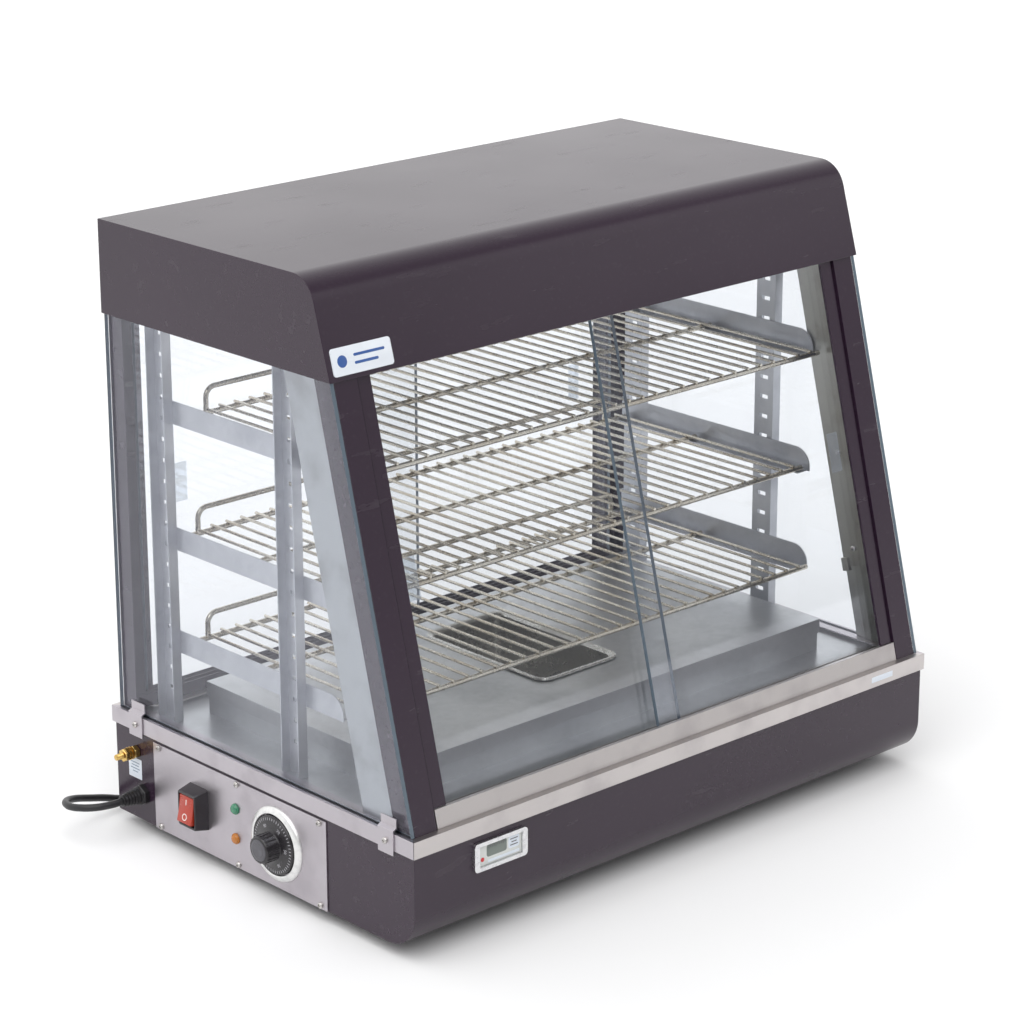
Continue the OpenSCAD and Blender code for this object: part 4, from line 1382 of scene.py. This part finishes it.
@dataclass
class Labels:
    """The small blank stickers on the side and on the belt."""

    def build(self, shop: Workshop) -> None:
        """Builds both stickers."""
        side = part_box("base_shell")[0].x
        at = Vector((side, 184 * MM, 62 * MM))
        paper = plate(20, 20, 0.2, 0.8, 0.05, "side_label")
        shop.mark("side_label", moved(paper, outward_left(at)), LABEL, "base_shell")
        rows = [
            moved(plate(0.9, wide, 0.1, 0.3, 0.02, "row"), shift(x, 0, 0.2))
            for x, wide in ((5.5, 14), (2.5, 11), (-0.5, 14), (-3.5, 8))
        ]
        lines = moved(joined(rows, "rows"), outward_left(at))
        shop.mark("side_label_lines", lines, LABEL_INK, "base_shell")
        low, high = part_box("belt_front")
        spot = Vector((high.x - 62 * MM, low.y, (low.z + high.z) / 2))
        strip = plate(30, 5.5, 0.2, 0.5, 0.05, "belt_label")
        shop.mark("belt_label", moved(strip, outward_front(spot)), LABEL, "belt_front")


@dataclass
class Supply:
    """The gland, the bonding stud, and the lead with its coil, tie and plug."""

    diameter: float = 7.0
    length: float = 1.30
    coil_outer: float = 42.0
    coil_inner: float = 35.0

    def build(self, shop: Workshop) -> None:
        """Builds the plug, the coil's tie and the gland, then the lead and the bonding stud."""
        plug = self._plug(shop)
        tie = self._tie(shop)
        gland = self._gland(shop)
        self._lead(shop)
        self._bonding_stud(shop)

    def _exit(self) -> Vector:
        """Where the lead leaves the gland."""
        low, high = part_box("cord_gland")
        return beside(low.x, low, high)

    def _route(self) -> list[Vector]:
        """The lead's points in millimetres from its exit, up to its coil."""
        table = self.diameter / 2 - self._exit().z / MM
        return [Vector(p) for p in (
            (0, 0, 0), (-10, 0, 0), (-24, 4, 0), (-34, 14, -1), (-38, 28, -3), (-34, 42, -5),
            (-24, 52, -8), (-10, 57, -12), (6, 59, -17), (23, 60, -22), (40, 61, -28),
            (57, 62, table + 3), (74, 63, table + 0.5), (92, 65, table), (114, 68, table),
            (137, 70, table), (160, 71, table + 0.5), (184, 71, table + 1),
        )]

    def _tail(self) -> list[Vector]:
        """The lead's points in millimetres from its exit, from its coil to its plug."""
        table = self.diameter / 2 - self._exit().z / MM
        return [Vector(p) for p in (
            (184, 71, table + 8), (199, 71, table + 8), (213, 72, table + 8.5), (226, 74, table + 9),
            (240, 76, table + 9.5),
        )]

    def _coil(self) -> list[Vector]:
        """Four turns in two layers, in millimetres from the exit."""
        start = self._route()[-1]
        centre = Vector((start.x, start.y + self.coil_outer, 0))
        points = []
        steps = 36
        for k in range(1, 4 * steps):
            turn = k / steps
            inward = ease_between(turn, 0.55, 1.0) - ease_between(turn, 3.0, 3.45)
            radius = self.coil_outer - (self.coil_outer - self.coil_inner) * inward
            height = start.z + self.diameter * ease_between(turn, 1.55, 2.0)
            angle = 2 * math.pi * turn - math.pi / 2
            points.append(centre + Vector((radius * math.cos(angle), radius * math.sin(angle), height)))
        return points

    def _lead(self, shop: Workshop) -> None:
        """The lead itself: down from the gland, round behind the case and into a tied coil."""
        exit_point = self._exit()
        start, tail = smooth_line(self._route(), 6), smooth_line(self._tail(), 6)
        line = [*start[:-1], self._route()[-1], *self._coil(), *tail]
        path = [exit_point + point * MM for point in line]
        real = sum((b - a).length for a, b in zip(path, path[1:]))
        mesh = tube(path, self.diameter / 2 * MM, "mains_lead")
        lead = shop.add("mains_lead", mesh, JACKET, "cord")
        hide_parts("cord_coil")
        LOG.info("lead is %.3f m long", real)

    def _tie(self, shop: Workshop) -> bpy.types.Object:
        """A flat band round the coil's back."""
        low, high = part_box("cord_coil")
        middle = (low + high) / 2
        thick, high_side = 0.7, high.z - low.z + 0.6 * MM
        centre = Vector((middle.x, high.y - 7 * MM, (low.z + high.z) / 2))
        shape = bmesh.new()
        rings = []
        for x in (-2.5, 2.5):
            for grow in (0.0, thick):
                outline = rounded_outline(14.4 + 2 * grow, high_side / MM + 2 * grow - 0.4, 2.0 + grow, 4)
                rings.append([shape.verts.new(centre + Vector((x, y, z)) * MM) for y, z in outline])
        order = (0, 1, 3, 2, 0)
        for a, b in zip(order, order[1:]):
            for k in range(len(rings[0])):
                m = (k + 1) % len(rings[0])
                shape.faces.new((rings[a][k], rings[a][m], rings[b][m], rings[b][k]))
        bmesh.ops.recalc_face_normals(shape, faces=shape.faces)
        return shop.mark("coil_tie", finished(shape, "coil_tie"), GLAND, "cord_coil")

    def _gland(self, shop: Workshop) -> bpy.types.Object:
        """A hexagon nut with a ribbed, tapered strain relief."""
        low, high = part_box("cord_gland")
        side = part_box("base_shell")[0].x
        at = beside(side, low, high)
        out = (side - low.x) / MM
        nut = lathe([(0, 0), (10.3, 0), (10.4, 0.5), (10.4, 5.2), (9.8, 5.9), (0, 5.9)], "nut", 6)
        profile = [(0, -4.0), (6.9, -4.0), (6.9, 0.2), (8.4, 0.2), (8.4, 6.4)]
        ribs = 6
        for k in range(ribs):
            start = 6.6 + k * (out - 7.4) / ribs
            wide = 8.3 - 2.7 * k / ribs
            profile += [(wide, start), (wide - 0.2, start + 1.7)]
            profile += [(wide - 1.1, start + 2.0), (wide - 1.1, start + 2.7)]
        profile += [(5.4, out - 0.4), (5.0, out), (0, out)]
        mesh = joined([nut, lathe(profile, "relief", 40)], "lead_gland")
        return shop.add("lead_gland", moved(mesh, outward_left(at)), GLAND, "cord_gland")

    def _plug(self, shop: Workshop) -> bpy.types.Object:
        """A moulded plug with grip ribs, two flat blades and a round earth pin."""
        low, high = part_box("plug")
        foot = beside(low.x, low, high)
        place = Matrix.Translation(foot) @ Matrix.Rotation(math.pi / 2, 4, "Y")
        profile = [(0, 0), (4.6, 0), (4.9, 0.4)]
        for k in range(5):
            start, wide = 2.0 + 3.0 * k, 5.2 + 0.42 * k
            profile += [(wide, start), (wide + 0.1, start + 1.5)]
            profile += [(wide - 0.6, start + 1.8), (wide - 0.5, start + 2.7)]
        profile += [
            (7.4, 17.8), (11.6, 18.4), (12.6, 19.4), (12.95, 21.0), (12.95, 35.5), (12.4, 37.2),
            (11.2, 38.0), (0, 38.0),
        ]
        body = moved(lathe(profile, "plug_body", 48), place)
        piece = shop.add("plug_moulding", body, JACKET, "plug")
        blades = [
            moved(plate(6.4, 1.5, 15.8, 0.5, 0.3, "blade"), shift(-2.8, y, 38))
            for y in (-6.3, 6.3)
        ]
        pin = lathe([(0, 38), (2.4, 38), (2.4, 54), (1.8, 55.6), (0.8, 56), (0, 56)], "pin", 24)
        contacts = moved(joined([*blades, moved(pin, shift(6))], "plug_blades"), place)
        metal = shop.mark("plug_blades", contacts, BRASS, "plug")
        metal.parent = piece
        metal.matrix_parent_inverse = piece.matrix_world.inverted()
        return piece

    def _bonding_stud(self, shop: Workshop) -> None:
        """A threaded brass stud with two hexagon nuts and washers."""
        low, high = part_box("bonding_terminal")
        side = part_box("base_shell")[0].x
        at = beside(side, low, high)
        top = (side - low.x) / MM
        thread = [(0, -8.0), (2.9, -8.0)]
        turns = int((top + 7) / 1.0)
        for k in range(turns):
            thread += [(2.95, -7.6 + k), (2.5, -7.1 + k)]
        thread += [(2.9, top - 0.5), (2.4, top), (0, top)]
        stud = [lathe(thread, "stud", 24)]
        for foot in (0.4, 11.1):
            nut = [
                (3.0, foot), (6.0, foot), (6.4, foot + 0.5), (6.4, foot + 5.3), (5.9, foot + 5.8),
                (3.0, foot + 5.8), (3.0, foot),
            ]
            stud.append(lathe(nut, "nut", 6))
        for foot in (6.5, 9.6):
            washer = [(3.0, foot), (6.2, foot), (6.2, foot + 1.0), (3.0, foot + 1.0), (3.0, foot)]
            stud.append(lathe(washer, "washer", 32))
        mesh = moved(joined(stud, "bonding_stud"), outward_left(at))
        shop.add("bonding_stud", mesh, BRASS, "bonding_terminal")


def ease_between(value: float, low: float, high: float) -> float:
    """0 below low, 1 above high, and a smooth rise between them."""
    share = min(max((value - low) / (high - low), 0.0), 1.0)
    return share * share * (3 - 2 * share)


def smooth_line(points: Sequence[Vector], steps: int) -> list[Vector]:
    """A Catmull-Rom line through the points, with this many steps between two of them."""
    line = []
    last = len(points) - 1
    for k in range(last):
        before, start, end, after = (points[min(max(k + d, 0), last)] for d in (-1, 0, 1, 2))
        for s in range(steps):
            t = s / steps
            line.append(0.5 * (
                2 * start + (end - before) * t + (2 * before - 5 * start + 4 * end - after) * t ** 2
                + (3 * start - before - 3 * end + after) * t ** 3
            ))
    return [*line, points[-1]]


# ---------- studio ----------


@dataclass
class Studio:
    """Plain pale floor, soft lamps and the camera."""

    azimuth: float = -41.385
    elevation: float = 17.653
    roll: float = -0.55
    position: Point = (-1.9428, -2.0757, 1.2230)
    lens: float = 112.1
    shift: tuple[float, float] = (0.0762, -0.0332)
    floor_half: float = 40.0
    front_light: float = 0.38
    back_light: float = 1.25

    def build(self) -> None:
        """Sets the stage."""
        self._camera()
        self._floor()
        self._world()
        self._sun()
        self._lamp("fill softbox", (2.8, -2.4, 2.0), 2.2, 10.0)

    @staticmethod
    def _sun() -> None:
        """A broad soft light from the upper left, which lights the whole floor evenly."""
        data = bpy.data.lights.new("broad light", "SUN")
        data.energy = 2.0
        data.angle = math.radians(70)
        lamp = bpy.data.objects.new("broad light", data)
        lamp.rotation_euler = Vector((0.45, 0.35, -1.0)).to_track_quat("-Z", "Y").to_euler()
        bpy.context.scene.collection.objects.link(lamp)

    def _camera(self) -> None:
        """The camera, turned by its azimuth, elevation and roll."""
        a, e, r = (math.radians(v) for v in (self.azimuth, self.elevation, self.roll))
        back = Vector((math.sin(a) * math.cos(e), -math.cos(a) * math.cos(e), math.sin(e)))
        level = Vector((math.cos(a), math.sin(a), 0.0))
        upward = back.cross(level)
        right = level * math.cos(r) + upward * math.sin(r)
        above = upward * math.cos(r) - level * math.sin(r)
        data = bpy.data.cameras.new("camera")
        data.lens = self.lens
        data.shift_x, data.shift_y = self.shift
        data.clip_end = 200.0
        camera = bpy.data.objects.new("camera", data)
        axes = Matrix((right, above, back)).transposed().to_4x4()
        camera.matrix_world = Matrix.Translation(self.position) @ axes
        bpy.context.scene.collection.objects.link(camera)
        bpy.context.scene.camera = camera

    def _floor(self) -> None:
        """A wide pale floor."""
        shape = bmesh.new()
        bmesh.ops.create_grid(shape, x_segments=1, y_segments=1, size=self.floor_half)
        mesh = finished(shape, "studio_floor")
        graph = Graph("studio floor")
        shade = graph.noise(0.8, 2.0)
        colour = graph.mix(shade, (0.90, 0.90, 0.90), (0.88, 0.88, 0.885))
        mesh.materials.append(graph.close(graph.surface({"Base Color": colour, "Roughness": 0.85})))
        floor = bpy.data.objects.new("studio_floor", mesh)
        bpy.context.scene.collection.objects.link(floor)

    def _world(self) -> None:
        """A white surround, brighter behind the case than in front of it."""
        world = bpy.data.worlds.new("studio")
        world.use_nodes = True
        tree = NodeTree(world.node_tree)
        background = world.node_tree.nodes["Background"]
        background.inputs["Color"].default_value = (1.0, 1.0, 1.0, 1.0)
        direction = tree.node("ShaderNodeTexCoord").outputs["Generated"]
        backward = tree.node("ShaderNodeSeparateXYZ", None, {0: direction}).outputs["Y"]
        strength = tree.node("ShaderNodeMapRange", None, {
            "Value": backward,
            "From Min": -0.3,
            "From Max": 0.6,
            "To Min": self.front_light,
            "To Max": self.back_light,
        })
        tree.feed(background.inputs["Strength"], strength.outputs["Result"])
        bpy.context.scene.world = world

    @staticmethod
    def _lamp(name: str, at: Point, size: float, power: float) -> None:
        """A square softbox aimed at the case.

        Args:
            name: Its name.
            at: Where it stands.
            size: Its side in metres.
            power: Its power in watts.
        """
        data = bpy.data.lights.new(name, "AREA")
        data.size = size
        data.energy = power
        lamp = bpy.data.objects.new(name, data)
        aim = (Vector((0.0, 0.0, 0.3)) - Vector(at)).to_track_quat("-Z", "Y")
        lamp.matrix_world = Matrix.Translation(at) @ aim.to_matrix().to_4x4()
        bpy.context.scene.collection.objects.link(lamp)


def main() -> None:
    """Builds the case round its frame, in order."""
    logging.basicConfig(level=logging.INFO, format="%(message)s")
    bpy.context.scene.view_settings.view_transform = "Standard"
    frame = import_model()
    shop = Workshop(frame)
    Studio().build()
    assemblies = (
        Supply(), Base(), Cabinet(), Rack(), Canopy(), Glazing(), Fasteners(), Controls(), Labels(),
    )
    for assembly in assemblies:
        LOG.info("building %s", type(assembly).__name__)
        assembly.build(shop)


if __name__ == "__main__":
    main()
